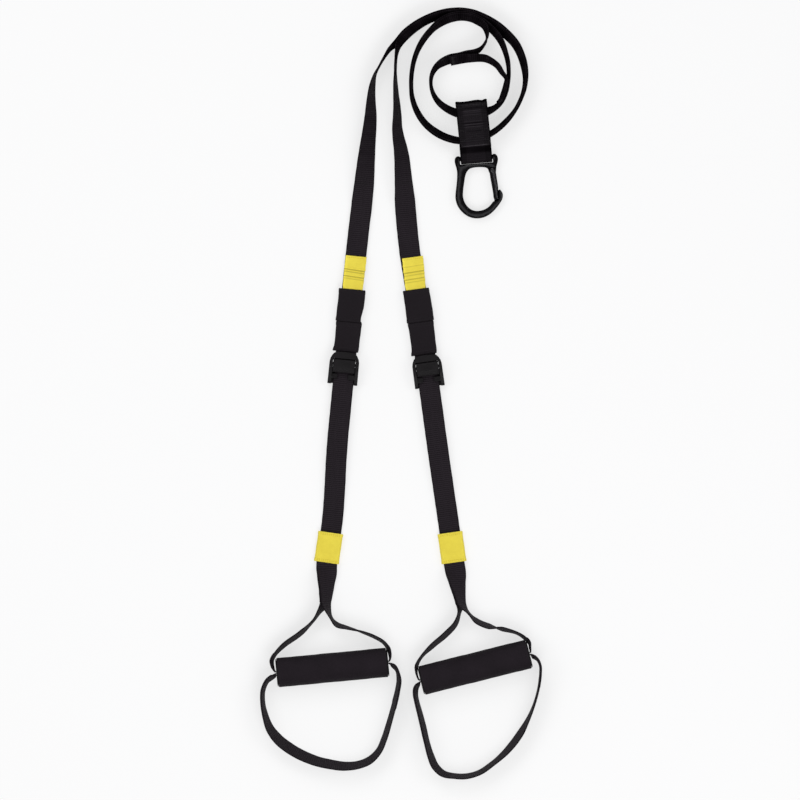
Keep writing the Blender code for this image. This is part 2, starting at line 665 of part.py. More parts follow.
gate_loop = [(14.5, 18.6), (15.0, 14.6), (18.2, 12.9), (21.5, 14.3), (22.3, 18.4),
             (22.9, 27.0), (23.6, 36.0), (23.4, 41.6), (23.0, 47.4), (21.9, 50.7),
             (19.4, 52.2), (17.5, 50.2), (16.9, 43.0), (16.0, 34.0), (15.1, 26.0)]
gate = finish("carabiner_gate", plate_mesh(
    carab, smooth_loop(gate_loop, 3.6), [],
    [(0.6, 1.3), (1.1, 0.5), (2.0, 0.0), (8.0, 0.0), (8.9, 0.5), (9.4, 1.3)]), COATED)
slot = finish("fork_blank", box_mesh(carab, (11.5, 10.0, 2.3), (25.0, 23.4, 7.9)), COATED)
cut(gate, slot, "DIFFERENCE")
hole = finish("hole_blank", rod_mesh(carab(*PIVOT, -2), carab(*PIVOT, 12), 1.6, 14), COATED)
cut(gate, hole, "DIFFERENCE")
gate.data.shade_smooth()
gate.data.set_sharp_from_angle(angle=math.radians(40))
pivot_at(gate, carab(*PIVOT, 5))
pin = finish("gate_pin", rod_mesh(carab(*PIVOT, 1.1), carab(*PIVOT, 8.9), 1.3, 14), STEEL,
             smooth=True)


def spring_mesh(centre, axis, radius, wire, pitch, turns, per_turn=10, sides=5):
    axis = axis.normalized()
    x = axis.orthogonal().normalized()
    y = axis.cross(x)
    bm = bmesh.new()
    n = int(turns * per_turn)
    rings = []
    for i in range(n + 1):
        k = 2 * math.pi * i / per_turn
        out = x * math.cos(k) + y * math.sin(k)
        along = -x * math.sin(k) + y * math.cos(k)
        mid = centre + out * radius + axis * (pitch * (i / per_turn - turns / 2))
        up = (axis - along * 0).normalized()
        rings.append([bm.verts.new(mid + (out * math.cos(q) + up * math.sin(q)) * wire)
                      for q in (2 * math.pi * j / sides for j in range(sides))])
    for r0, r1 in zip(rings, rings[1:]):
        for j in range(sides):
            m = (j + 1) % sides
            bm.faces.new((r0[j], r0[m], r1[m], r1[j]))
    bm.faces.new(rings[0][::-1])
    bm.faces.new(rings[-1])
    return bm


finish("gate_spring", spring_mesh(carab(*PIVOT, 6.65), Vector((0, 0, 1)), 2.1, 0.32,
                                  0.8, 1.9), STEEL, smooth=True)


# ---------------------------------------------------------------- each leg
def sleeve(name, place, half, z, z_in, v0, v1, wall, mat):
    """Flat webbing sleeve: a tube of rectangular section with softened corners."""
    bm = bmesh.new()
    c = 1.6
    z0, z1 = z
    outer = [(-half + c, z0), (half - c, z0), (half, z0 + c), (half, z1 - c),
             (half - c, z1), (-half + c, z1), (-half, z1 - c), (-half, z0 + c)]
    h, a, b, e = half - wall, z_in[0], z_in[1], 0.5
    inner = [(-h + e, a), (h - e, a), (h, a + e), (h, b - e), (h - e, b), (-h + e, b),
             (-h, b - e), (-h, a + e)]
    rings = []
    for v in (v0, v1):
        rings.append(([bm.verts.new(place(u, v, q)) for u, q in outer],
                      [bm.verts.new(place(u, v, q)) for u, q in inner]))
    (o0, i0), (o1, i1) = rings
    for k in range(8):
        j = (k + 1) % 8
        bm.faces.new((o0[k], o0[j], o1[j], o1[k]))
        bm.faces.new((i0[k], i1[k], i1[j], i0[j]))
        bm.faces.new((o0[k], i0[k], i0[j], o0[j]))
        bm.faces.new((o1[k], o1[j], i1[j], i1[k]))
    return finish(name, bm, mat)


def make_buckle(leg):
    side = leg.side
    b = leg.buckle

    def profile(points, u0, u1, mat, name):
        """Extrudes a (v, z) profile from u0 to u1."""
        bm = bmesh.new()
        a = [bm.verts.new(b(u0, v, z)) for v, z in points]
        c = [bm.verts.new(b(u1, v, z)) for v, z in points]
        n = len(points)
        for i in range(n):
            j = (i + 1) % n
            bm.faces.new((a[i], a[j], c[j], c[i]))
        bm.faces.new(a[::-1])
        bm.faces.new(c)
        return finish(name, bm, mat)

    wall = [(-16.5, 0.0), (18.2, 0.0), (19.0, 0.8), (19.0, 8.6), (16.5, 10.8),
            (9.0, 13.4), (3.0, 15.2), (-3.0, 15.9), (-16.5, 16.0)]
    frame = profile(wall, BUCKLE_IN, BUCKLE_HALF + 0.6, PLASTIC, f"{side}_buckle_frame")
    other = profile(wall, -BUCKLE_HALF - 0.6, -BUCKLE_IN, PLASTIC, "wall_blank")
    cut(frame, other, "UNION")
    # floor plate under the adjusting strap, top bridge and the two lugs over it
    pieces = [((-14.2, -6.8, 5.2), (14.2, 18.4, 7.3)),
              ((-14.2, -20.4, 11.2), (14.2, -11.9, 15.4)),
              ((-14.2, 6.6, 9.6), (-7.2, 12.4, 12.4)),
              ((6.2, 7.2, 9.6), (14.2, 13.0, 12.4))]
    for lo, hi in pieces:
        cut(frame, finish("piece_blank", box_mesh(b, lo, hi), PLASTIC), "UNION")
    # rounded plan outline
    half = [(18.0, 19.6), (17.9, 4.0), (17.8, -8.0), (17.0, -12.0), (15.0, -16.0),
            (12.6, -18.6), (8.0, -19.7), (0.0, -20.0)]
    outline = half + [(-u, v) for u, v in reversed(half[:-1])]
    cut(frame, finish("outline_blank", plate_mesh(b, outline, [], [(-1, 0), (20, 0)]),
                      PLASTIC), "INTERSECT")
    for v, z in ((BAR_V, BAR_Z), (CAM_V, CAM_Z)):
        cut(frame, finish("hole_blank", rod_mesh(b(-16.6, v, z), b(16.6, v, z),
                                                 BAR_R + GAP, 14), PLASTIC), "DIFFERENCE")
    flat(frame)
    finish(f"{side}_buckle_bar", rod_mesh(b(-16.2, BAR_V, BAR_Z), b(16.2, BAR_V, BAR_Z),
                                          BAR_R, 14), STEEL, smooth=True)
    finish(f"{side}_cam_pin", rod_mesh(b(-16.2, CAM_V, CAM_Z), b(16.2, CAM_V, CAM_Z),
                                       CAM_PIN_R, 14), STEEL, smooth=True)
    # cam lever: thumb plate, barrel round the pin and a nose that grips the strap
    arc = [(CAM_V + 3.0 * math.cos(math.radians(a)), CAM_Z + 3.0 * math.sin(math.radians(a)))
           for a in (10, -12, -34, -56, -78)]
    lever_line = [(-10.9, 14.6), (-7.4, 13.4), (-7.2, 10.8), (-6.6, 9.8), (-5.4, 9.5)] + \
        arc[::-1] + [(0.6, 14.4), (4.9, 14.6), (5.0, 15.6), (3.8, 16.6), (-9.4, 16.8),
                     (-10.9, 16.0)]
    lever = profile(lever_line, -13.3, 13.3, PLASTIC, f"{side}_cam_lever")
    cut(lever, finish("hole_blank", rod_mesh(b(-15, CAM_V, CAM_Z), b(15, CAM_V, CAM_Z),
                                             CAM_PIN_R + GAP, 14), PLASTIC), "DIFFERENCE")
    cut(lever, finish("pocket_blank", box_mesh(b, (-3.4, -8.0, 8.8), (3.4, 0.9, 15.7)),
                      PLASTIC), "DIFFERENCE")
    flat(lever)
    pivot_at(lever, b(0, CAM_V, CAM_Z))
    finish(f"{side}_cam_spring", spring_mesh(b(0, CAM_V, CAM_Z), leg.right, 2.3, 0.4,
                                             1.0, 4.0, 10, 5), STEEL, smooth=True)


def make_sleeves(leg):
    side = leg.side
    a = leg.along
    low = sleeve(f"{side}_lower_sleeve", leg.at, 15.2, (0.2, 10.3), (1.0, 9.45),
                 a(322.15), -20.6, 1.4, BLACK_SLEEVE)
    # its under layer runs on a little below the slider sleeve
    cut(low, finish("flap_blank", box_mesh(leg.at, (-14.4, a(322.15) - 2.2, 0.2),
                                           (14.4, a(322.15) + 0.8, 0.85)), BLACK_SLEEVE),
        "UNION")
    flat(low)
    sleeve(f"{side}_slider_sleeve", leg.at, 15.9, (1.9, 10.5), (2.8, 9.45),
           a(289.2), a(321.85), 1.1, BLACK_SLEEVE)


def make_tab(leg, shift_top, shift_low, v_top):
    """Yellow pull tab: folded fabric with two sewn cross ridges."""
    v0, v1 = leg.along(v_top), leg.along(294.0)
    bm = bmesh.new()
    length = v1 - v0
    marks = sorted({0.0, 0.015, 0.05, 0.34, 0.37, 0.42, 0.45, 0.50, 0.53, 0.58, 0.61,
                    0.90, 1.0})
    rings = []
    for m in marks:
        v = v0 + length * m
        ridge = 0.55 if m in (0.37, 0.42, 0.53, 0.58) else 0.0
        z = 5.9 + 2.45 * smoothstep(m, 0.15, 0.9)
        t = 0.55 if m == 0.0 else 0.85
        mid = shift_top + (shift_low - shift_top) * m
        half = 12.3 + (0.3 if m < 0.35 else 0.0) - 0.5 * smoothstep(m, 0.7, 0.9)
        rings.append([bm.verts.new(leg.at(mid + s * half, v, z + q))
                      for s, q in ((-1, -t), (1, -t), (1, t + ridge), (-1, t + ridge))])
    for r0, r1 in zip(rings, rings[1:]):
        for k in range(4):
            j = (k + 1) % 4
            bm.faces.new((r0[k], r0[j], r1[j], r1[k]))
    bm.faces.new(rings[0][::-1])
    bm.faces.new(rings[-1])
    finish(f"{leg.side}_pull_tab", bm, YELLOW)


def make_adjust(leg, label_mid, label_lean):
    """Adjusting strap: straight through the buckle, then down to the label sleeve."""
    rows = []
    for v in (296.0, 330.0, 370.0, 410.0, 436.0):
        rows.append((*leg.on(v), -90, ADJ_Z))
    lu, lv = label_mid
    s = math.tan(math.radians(label_lean))
    tail = [(leg.u0 + leg.slope * (436 - 256), 436.0)]
    for v, z in ((460.0, 7.6), (484.0, 5.4), (506.0, 3.1), (522.0, 2.05), (533.0, 1.9),
                 (546.0, 1.9), (559.0, 1.9)):
        if v < 530:
            k = (v - 436.0) / (533.0 - 436.0)
            u0, u1 = tail[0][0], lu - s * (lv - 533.0)
            m0, m1 = leg.slope, s
            h = 533.0 - 436.0
            u = ((2 * k ** 3 - 3 * k ** 2 + 1) * u0 + (k ** 3 - 2 * k ** 2 + k) * h * m0
                 + (-2 * k ** 3 + 3 * k ** 2) * u1 + (k ** 3 - k ** 2) * h * m1)
        else:
            u = lu + s * (v - lv)
        rows.append((*plan(u, v), -90, z))
    frames = stations(curve(rows, 4.0))
    ribbon(f"{leg.side}_adjust_strap", thin_out(frames, 1.6, 60.0), WEB_W, WEB_T, BLACK_WEB)


def make_label(leg, mid, lean):
    """Blank yellow label sleeve over the sewn joint of adjusting strap and yoke."""
    c = Vector((*plan(*mid), 0))
    t = math.radians(lean)
    down = Vector((math.sin(t), -math.cos(t), 0))
    right = Vector((-down.y, down.x, 0))

    def place(u, v, z):
        return c + right * u + down * v + Vector((0, 0, z))
    sleeve(f"{leg.side}_label_sleeve", place, 14.9, (0.2, 7.4), (1.0, 6.6), -18.2, 18.2,
           1.0, YELLOW)


# grips: plan grid middle, turn on the table
GRIPS = {"left": ((332.3, 667.5), 5.4), "right": ((475.1, 667.2), 14.0)}

# yoke strap: the pair of strands from the label down to where they part, then the first
# strand's way to the grip and the last strand's way back
YOKE = {
    "left": {
        "pair": [(330.4, 536.0, -90, 2.65), (328.7, 547.5, -90, 2.65),
                 (327.2, 558.0, -90, 2.65), (326.7, 565.5, -90, 2.65),
                 (326.7, 573.0, -72, 2.0), (326.3, 581.0, -53, 1.0),
                 (326.2, 589.0, -41, 0.4), (325.7, 596.0, -34, 0.0),
                 (325.3, 602.5, -28, 0.0)],
        "first": [(319.0, 612.1, -11, 0.0), (313.2, 620.8, -4, 0.0),
                  (300.3, 633.4, -13, 0.0), (284.0, 645.1, -12, 0.2),
                  (275.1, 654.5, -8.5, 1.2), (271.9, 661.4, -8, 2.9),
                  (272.4, 666.6, -4, 4.4)],
        "last": [(390.3, 656.8, -3, 4.6), (388.9, 650.4, -8, 3.2),
                 (383.9, 642.7, -8, 1.4), (374.3, 636.9, -8, 0.4),
                 (359.5, 631.2, -1, 0.0), (346.2, 627.5, 8.7, 0.0),
                 (337.1, 624.8, 13, 0.0), (331.6, 618.6, 7, 0.0)],
    },
    "right": {
        "pair": [(450.3, 536.0, -90, 2.65), (451.9, 547.5, -90, 2.65),
                 (453.4, 558.0, -90, 2.65), (454.5, 565.5, -90, 2.65),
                 (455.8, 573.0, -75, 2.0), (456.9, 581.1, -52, 1.0),
                 (458.3, 589.1, -39, 0.4), (459.5, 596.1, -30, 0.0),
                 (460.7, 603.1, -25, 0.0)],
        "first": [(459.0, 613.9, -8, 0.0), (455.3, 624.1, -12.5, 0.0),
                  (445.8, 634.4, -15, 0.0), (432.5, 645.7, -13, 0.2),
                  (421.7, 656.6, -6, 1.2), (417.0, 665.2, -8, 3.0),
                  (416.3, 671.2, -4, 4.4)],
        "last": [(530.4, 648.4, -3, 4.6), (529.4, 643.4, -7, 3.4),
                 (525.0, 638.4, -8, 1.8), (516.8, 633.1, -6, 0.6),
                 (503.1, 629.2, -11, 0.0), (488.2, 626.1, 15, 0.0),
                 (476.9, 621.2, 13.5, 0.0), (469.4, 614.0, 4, 0.0)],
    },
}
CRADLE = {
    "left": [(273.4, 676.0, -10, 4.6), (269.6, 678.9, -10, 4.1), (266.3, 682.2, -8, 3.4),
             (262.9, 691.0, -9, 1.8), (262.9, 704.0, -10, 0.4), (265.3, 715.7, -14.5, 0.0),
             (269.8, 728.2, -23, 0.0), (278.7, 739.8, -29, 0.0), (288.9, 747.9, -31, 0.0),
             (301.4, 755.1, -30, 0.0), (316.8, 761.3, -28.5, 0.0),
             (330.2, 764.3, -27, 0.0), (343.4, 766.2, -25, 0.0), (356.9, 765.2, -22, 0.0),
             (369.3, 760.5, -20.5, 0.0), (378.7, 751.2, -17, 0.0),
             (384.6, 737.7, -15, 0.0), (389.2, 722.9, -14, 0.0), (393.5, 707.3, -12.5, 0.2),
             (397.3, 692.1, -10.5, 1.4), (399.0, 680.0, -9, 3.0), (397.4, 671.4, -4, 4.2),
             (393.9, 666.3, -8, 4.7)],
    "right": [(417.9, 684.2, -7, 4.7), (416.0, 688.2, -11, 4.0), (415.5, 693.4, -10, 3.0),
              (416.3, 699.6, -9, 2.1), (419.4, 711.7, -11.5, 0.8), (423.0, 725.9, -13, 0.1),
              (427.0, 743.1, -13.5, 0.0), (430.8, 756.2, -17, 0.0), (435.6, 766.8, -19.5, 0.0),
              (443.7, 773.9, -18, 0.0), (454.7, 776.1, -14, 0.0), (466.0, 776.3, -14.5, 0.0),
              (479.4, 772.6, -13.5, 0.0), (492.5, 763.7, -13, 0.0), (506.3, 751.5, -17, 0.0),
              (518.6, 736.0, -19, 0.0), (527.6, 720.2, -10, 0.0), (533.9, 705.1, -4, 0.2),
              (538.2, 690.0, -2, 1.2), (540.4, 675.0, -2, 3.0), (540.3, 665.6, -2, 4.2),
              (537.8, 660.0, -3, 4.6), (533.8, 656.8, -7, 4.9)],
}


def make_handle(leg):
    side = leg.side
    (gu, gv), lean = GRIPS[side]
    c = Vector((*plan(gu, gv), GRIP_Z))
    t = math.radians(lean)
    axis = Vector((math.cos(t), math.sin(t), 0))
    up = Vector((-math.sin(t), math.cos(t), 0))

    # grip: foam on a plastic core tube with a retaining ring at each end
    h = GRIP_L / 2
    e = 1.6
    foam = [(-h + e, GRIP_R), (h - e, GRIP_R), (h, GRIP_R - e), (h, CORE_RO + GAP),
            (-h, CORE_RO + GAP), (-h, GRIP_R - e)]
    ob = finish(f"{side}_grip_foam", turned_mesh(c, axis, foam, 40), FOAM, smooth=True)
    k = CORE_L / 2
    core = [(-k, CORE_RO), (k, CORE_RO), (k, CORE_RI), (-k, CORE_RI)]
    finish(f"{side}_grip_core", turned_mesh(c, axis, core, 40), PLASTIC, smooth=True)
    for s in (-1, 1):
        a, b = s * (h + 0.25), s * (h + 0.25 + RING_T)
        ring = [(a, RING_RO), (b, RING_RO - 0.3), (b, CORE_RO + GAP), (a, CORE_RO + GAP)]
        name = "ring_a" if s < 0 else "ring_b"
        finish(f"{side}_grip_{name}", turned_mesh(c, axis, ring, 32), PLASTIC, smooth=True)

    # yoke strap: label, first strand, through the grip, last strand, label
    data = YOKE[side]
    run = stations(curve(grid_rows(data["pair"], PAIR / 2), 2.5))
    both = thin_out(run)
    down = beside(both, PAIR / 2)
    up_again = [(p, w, -n) for p, w, n in reversed(beside(both, -PAIR / 2))]
    near = as_rows(beside(run, PAIR / 2), 8.0)[-4:]
    far = as_rows([(p, w, -n) for p, w, n in reversed(beside(run, -PAIR / 2))], 8.0)[:4]
    inside = []
    y = 1.25
    for s in (-69.0, -66.0, -40.0, 0.0, 40.0, 66.0, 69.0):
        p = c + axis * s + up * y
        inside.append((p.x, p.y, 0.0, GRIP_Z))
    rows = near + grid_rows(data["first"]) + inside + grid_rows(data["last"]) + far
    marks = []
    loop = stations(curve(rows, 2.5, marks=marks))[marks[3] + 2:marks[-4] - 1]
    ahead = down + thin_out(loop, 8.0, 40.0)
    ribbon(f"{side}_yoke_strap", ahead + up_again, WEB_W, WEB_T, BLACK_WEB,
           turned=len(ahead))

    # foot cradle: a closed loop that also runs through the grip
    inside = []
    for s in (69.0, 66.0, 40.0, 0.0, -40.0, -66.0, -69.0):
        p = c + axis * s - up * y
        inside.append((p.x, p.y, 0.0, GRIP_Z))
    rows = grid_rows(CRADLE[side]) + inside
    ribbon(f"{side}_foot_cradle",
           thin_out(stations(curve(rows, 2.5, closed=True), closed=True), 8.0, 40.0,
                    closed=True), WEB_W, WEB_T, BLACK_WEB, closed=True)


LABELS = {"left": ((328.6, 547.6), -8.4), "right": ((452.0, 547.6), 8.0)}
for leg, shifts, top in ((LEFT, (1.1, 0.4), 256.0), (RIGHT, (1.1, -0.6), 257.2)):
    make_buckle(leg)
    make_sleeves(leg)
    make_tab(leg, *shifts, top)
    make_adjust(leg, *LABELS[leg.side])
    make_label(leg, *LABELS[leg.side])
    make_handle(leg)
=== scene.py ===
"""Looks of the suspension trainer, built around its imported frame. It lies loosely coiled on a
table: +Y points to the coiled anchor end, +Z is up."""
import bpy
import bmesh
import math
import numpy as np
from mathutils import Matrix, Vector
from mathutils.geometry import tessellate_polygon


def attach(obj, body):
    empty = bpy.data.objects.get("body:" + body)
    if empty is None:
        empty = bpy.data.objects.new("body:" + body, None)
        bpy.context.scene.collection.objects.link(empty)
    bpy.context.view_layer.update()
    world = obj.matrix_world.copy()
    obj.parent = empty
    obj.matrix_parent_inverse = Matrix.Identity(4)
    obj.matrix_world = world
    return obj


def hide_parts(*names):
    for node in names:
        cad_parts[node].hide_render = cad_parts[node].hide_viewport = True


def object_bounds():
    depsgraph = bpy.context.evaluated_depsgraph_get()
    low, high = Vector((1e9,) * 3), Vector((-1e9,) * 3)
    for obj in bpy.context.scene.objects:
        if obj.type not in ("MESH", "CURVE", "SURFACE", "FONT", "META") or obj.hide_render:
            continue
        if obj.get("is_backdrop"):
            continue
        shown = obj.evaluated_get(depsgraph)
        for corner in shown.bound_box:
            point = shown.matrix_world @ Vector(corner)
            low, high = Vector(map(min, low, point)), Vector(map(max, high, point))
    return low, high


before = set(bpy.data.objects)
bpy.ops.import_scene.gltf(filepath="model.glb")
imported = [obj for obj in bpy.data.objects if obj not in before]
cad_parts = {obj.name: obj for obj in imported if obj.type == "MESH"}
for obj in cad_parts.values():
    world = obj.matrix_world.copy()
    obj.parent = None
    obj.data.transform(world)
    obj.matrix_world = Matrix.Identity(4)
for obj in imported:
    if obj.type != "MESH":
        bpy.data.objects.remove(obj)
cad_low, cad_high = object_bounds()

MM = 0.001
GRID = 1.2
GRID_X0, GRID_Y0 = 400.95, 393.51
WEB_W, WEB_T = 25.0, 1.5
ANCHOR_W, ANCHOR_T = 38.0, 1.8
GAP = 0.3
PAIR = WEB_T + 0.5
ADJ_Z, RUN_Z, TAIL_Z = 8.4, 3.9, 2.05
BAR_V, BAR_Z, BAR_R = -11.0, 4.0, 1.5
CAM_V, CAM_Z = -3.0, 12.6
GRIP_R, GRIP_L = 17.75, 132.0
GRIP_Z = GRIP_R
CORE_RO, CORE_RI, CORE_L = 14.7, 13.3, 135.0
RING_RO, RING_T = 16.6, 1.0
CARAB_T = 10.0
CARAB_BAR_R = 2.5
CARAB_ANGLE = 4.2
CARAB_AT = (476.3, 158.0)


def plan(u, v):
    return (u - GRID_X0) * GRID, (GRID_Y0 - v) * GRID


# ---------------------------------------------------------------- camera, light, floor
cam_data = bpy.data.cameras.new("camera")
cam_data.type = "ORTHO"
cam_data.ortho_scale = 800 * GRID * MM
cam = bpy.data.objects.new("camera", cam_data)
bpy.context.scene.collection.objects.link(cam)
cx, cy = plan(400, 400)
cam.location = (cx * MM, cy * MM, 2.0)
cam.rotation_euler = (0, 0, 0)
cam_data.clip_start, cam_data.clip_end = 0.1, 10.0
bpy.context.scene.camera = cam


def area_light(name, location, target, size, power):
    data = bpy.data.lights.new(name, "AREA")
    data.shape = "RECTANGLE"
    data.size, data.size_y = size
    data.energy = power
    ob = bpy.data.objects.new(name, data)
    bpy.context.scene.collection.objects.link(ob)
    ob.location = location
    aim = Vector(target) - Vector(location)
    ob.rotation_euler = aim.to_track_quat("-Z", "Y").to_euler()
    return ob


area_light("key_light", (0.4, -1.6, 2.4), (0, -0.05, 0), (1.5, 1.5), 28)
area_light("fill_light", (-0.7, 1.6, 2.4), (0, 0.1, 0), (1.5, 1.5), 20)
area_light("left_light", (-1.9, 0.1, 2.3), (0, 0, 0), (1.2, 1.2), 12)
area_light("right_light", (1.9, 0.1, 2.3), (0, 0, 0), (1.2, 1.2), 12)
world = bpy.data.worlds.new("studio")
world.use_nodes = True
world.node_tree.nodes["Background"].inputs["Color"].default_value = (1.0, 1.0, 1.0, 1)
world.node_tree.nodes["Background"].inputs["Strength"].default_value = 0.44
bpy.context.scene.world = world
bpy.context.scene.view_settings.view_transform = "Standard"
bpy.context.scene.view_settings.look = "None"


# ---------------------------------------------------------------- node helpers
class Nodes:
    """Short ways to wire a material's nodes."""

    def __init__(self, name):
        self.mat = bpy.data.materials.new(name)
        self.mat.use_nodes = True
        self.tree = self.mat.node_tree
        self.bsdf = self.tree.nodes["Principled BSDF"]

    def new(self, kind, **values):
        node = self.tree.nodes.new(kind)
        for key, value in values.items():
            setattr(node, key, value)
        return node

    def link(self, a, b):
        self.tree.links.new(a, b)

    def math(self, op, a, b=None, c=None, clamp=False):
        node = self.new("ShaderNodeMath", operation=op, use_clamp=clamp)
        for i, x in enumerate((a, b, c)):
            if x is None:
                continue
            if isinstance(x, (int, float)):
                node.inputs[i].default_value = x
            else:
                self.link(x, node.inputs[i])
        return node.outputs[0]

    def ramp(self, fac, stops):
        node = self.new("ShaderNodeValToRGB")
        ramp = node.color_ramp
        while len(ramp.elements) < len(stops):
            ramp.elements.new(0.5)
        for e, (pos, col) in zip(ramp.elements, stops):
            e.position = pos
            e.color = (*col, 1) if len(col) == 3 else col
        self.link(fac, node.inputs[0])
        return node.outputs[0]

    def noise(self, vector, scale, detail=3.0, rough=0.5):
        node = self.new("ShaderNodeTexNoise")
        node.inputs["Scale"].default_value = scale
        node.inputs["Detail"].default_value = detail
        node.inputs["Roughness"].default_value = rough
        self.link(vector, node.inputs["Vector"])
        return node.outputs[0]

    def mix(self, fac, a, b, mode="MIX"):
        node = self.new("ShaderNodeMix", data_type="RGBA", blend_type=mode)
        for sock, x in ((node.inputs[0], fac), (node.inputs[6], a), (node.inputs[7], b)):
            if isinstance(x, (int, float)):
                sock.default_value = x
            elif isinstance(x, tuple):
                sock.default_value = (*x, 1) if len(x) == 3 else x
            else:
                self.link(x, sock)
        return node.outputs[2]

    def bump(self, height, distance, strength=1.0, normal=None):
        node = self.new("ShaderNodeBump")
        node.inputs["Distance"].default_value = distance
        node.inputs["Strength"].default_value = strength
        self.link(height, node.inputs["Height"])
        if normal is not None:
            self.link(normal, node.inputs["Normal"])
        return node.outputs[0]

    def lay(self):
        """Along, across and side of a strap, in metres."""
        node = self.new("ShaderNodeAttribute", attribute_name="lay")
        parts = self.new("ShaderNodeSeparateXYZ")
        self.link(node.outputs["Vector"], parts.inputs[0])
        return node.outputs["Vector"], parts.outputs[0], parts.outputs[1]

    def place(self):
        return self.new("ShaderNodeTexCoord").outputs["Object"]

    def set(self, **values):
        for key, value in values.items():
            self.bsdf.inputs[key.replace("_", " ")].default_value = value


def webbing(name, dark, light, pitch=0.0024, column=0.0010, sheen=0.009, ribs=1.0):
    """Ribbed woven webbing: straight weft ribs across it, bound by fine warp yarns."""
    k = Nodes(name)
    vec, s, w = k.lay()
    col = k.math("DIVIDE", w, column)
    odd = k.math("MULTIPLY", k.math("MODULO", k.math("ABSOLUTE", k.math("FLOOR", col)), 2.0),
                 0.16)
    wander = k.math("MULTIPLY", k.math("SUBTRACT", k.noise(vec, 70.0, 2.0), 0.5), 0.5)
    run = k.math("ADD", k.math("ADD", k.math("DIVIDE", s, pitch), odd), wander)
    rib = k.math("POWER", k.math("ABSOLUTE", k.math("SINE", k.math("MULTIPLY", run, math.pi))),
                 0.75)
    yarn = k.math("POWER", k.math("ABSOLUTE", k.math("SINE", k.math("MULTIPLY", col, math.pi))),
                  0.45)
    fibre = k.noise(vec, 2600.0, 2.0)
    height = k.math("ADD", k.math("MULTIPLY", rib, 0.80),
                    k.math("ADD", k.math("MULTIPLY", yarn, 0.22),
                           k.math("MULTIPLY", fibre, 0.25)))
    patch = k.noise(vec, 24.0, 4.0, 0.6)
    streak_vec = k.new("ShaderNodeMapping")
    streak_vec.inputs["Scale"].default_value = (22.0, 520.0, 1.0)
    k.link(vec, streak_vec.inputs["Vector"])
    streak = k.noise(streak_vec.outputs[0], 1.0, 2.0)
    edge = k.math("GREATER_THAN", k.math("ABSOLUTE", w), 0.0112)
    tone = k.math("ADD", k.math("ADD", k.math("MULTIPLY", rib, 0.58 * ribs),
                                k.math("MULTIPLY", yarn, 0.08)),
                  k.math("ADD", k.math("MULTIPLY", patch, 0.34),
                         k.math("MULTIPLY", streak, 0.26)))
    base = k.ramp(tone, [(0.22, dark), (0.98, light)])
    base = k.mix(k.math("MULTIPLY", edge, 0.35), base, tuple(c * 0.5 for c in dark))
    lint = k.math("GREATER_THAN", k.noise(vec, 5200.0, 1.0), 0.745)
    base = k.mix(k.math("MULTIPLY", lint, 0.25), base, (0.060, 0.057, 0.062))
    shade = k.new("ShaderNodeAttribute", attribute_name="shade").outputs["Fac"]
    # the shade attribute multiplies painted shade and painted highlight into the colour
    base = k.mix(1.0, base, k.math("ADD", shade, 1.0), "MULTIPLY")
    k.link(base, k.bsdf.inputs["Base Color"])
    rough = k.ramp(patch, [(0.25, (0.66,) * 3), (0.8, (0.82,) * 3)])
    k.link(rough, k.bsdf.inputs["Roughness"])
    k.link(k.bump(height, 0.00042 * ribs, 0.95), k.bsdf.inputs["Normal"])
    k.set(Sheen_Roughness=0.45)
    # painted shade also dims the specular and the sheen
    k.link(k.math("MAXIMUM", k.math("ADD", k.math("MULTIPLY", shade, 0.14), 0.05), 0.0),
           k.bsdf.inputs["Specular IOR Level"])
    k.link(k.math("MAXIMUM", k.math("ADD", k.math("MULTIPLY", shade, 0.03), sheen), 0.0),
           k.bsdf.inputs["Sheen Weight"])
    k.bsdf.inputs["Sheen Tint"].default_value = (0.72, 0.68, 0.76, 1)
    return k.mat


def cloth(name, dark, light, pitch=0.0006, sheen=0.02, coords="lay", spec=0.12):
    """Close plain-woven fabric."""
    k = Nodes(name)
    if coords == "lay":
        vec, s, w = k.lay()
    else:
        vec = k.place()
        parts = k.new("ShaderNodeSeparateXYZ")
        k.link(vec, parts.inputs[0])
        s, w = parts.outputs[1], parts.outputs[0]
    a = k.math("SINE", k.math("MULTIPLY", s, 2 * math.pi / pitch))
    b = k.math("SINE", k.math("MULTIPLY", w, 2 * math.pi / pitch))
    weave = k.math("MULTIPLY", a, b)
    fibre = k.noise(vec, 3400.0, 2.0)
    height = k.math("ADD", k.math("MULTIPLY", weave, 0.30), k.math("MULTIPLY", fibre, 0.35))
    patch = k.noise(vec, 60.0, 4.0, 0.6)
    broad = k.noise(vec, 16.0, 2.0, 0.5)
    tone = k.math("ADD", k.math("MULTIPLY", patch, 0.55),
                  k.math("ADD", k.math("MULTIPLY", weave, 0.10), k.math("MULTIPLY", broad, 0.4)))
    base = k.ramp(tone, [(0.22, dark), (0.78, light)])
    shade = k.new("ShaderNodeAttribute", attribute_name="shade").outputs["Fac"]
    # the shade attribute multiplies painted shade and painted highlight into the colour
    base = k.mix(1.0, base, k.math("ADD", shade, 1.0), "MULTIPLY")
    k.link(base, k.bsdf.inputs["Base Color"])
    k.link(k.ramp(patch, [(0.2, (0.66,) * 3), (0.8, (0.84,) * 3)]), k.bsdf.inputs["Roughness"])
    k.link(k.bump(height, 0.00014, 0.8), k.bsdf.inputs["Normal"])
    k.set(Sheen_Weight=sheen, Sheen_Roughness=0.5, Specular_IOR_Level=spec)
    return k.mat


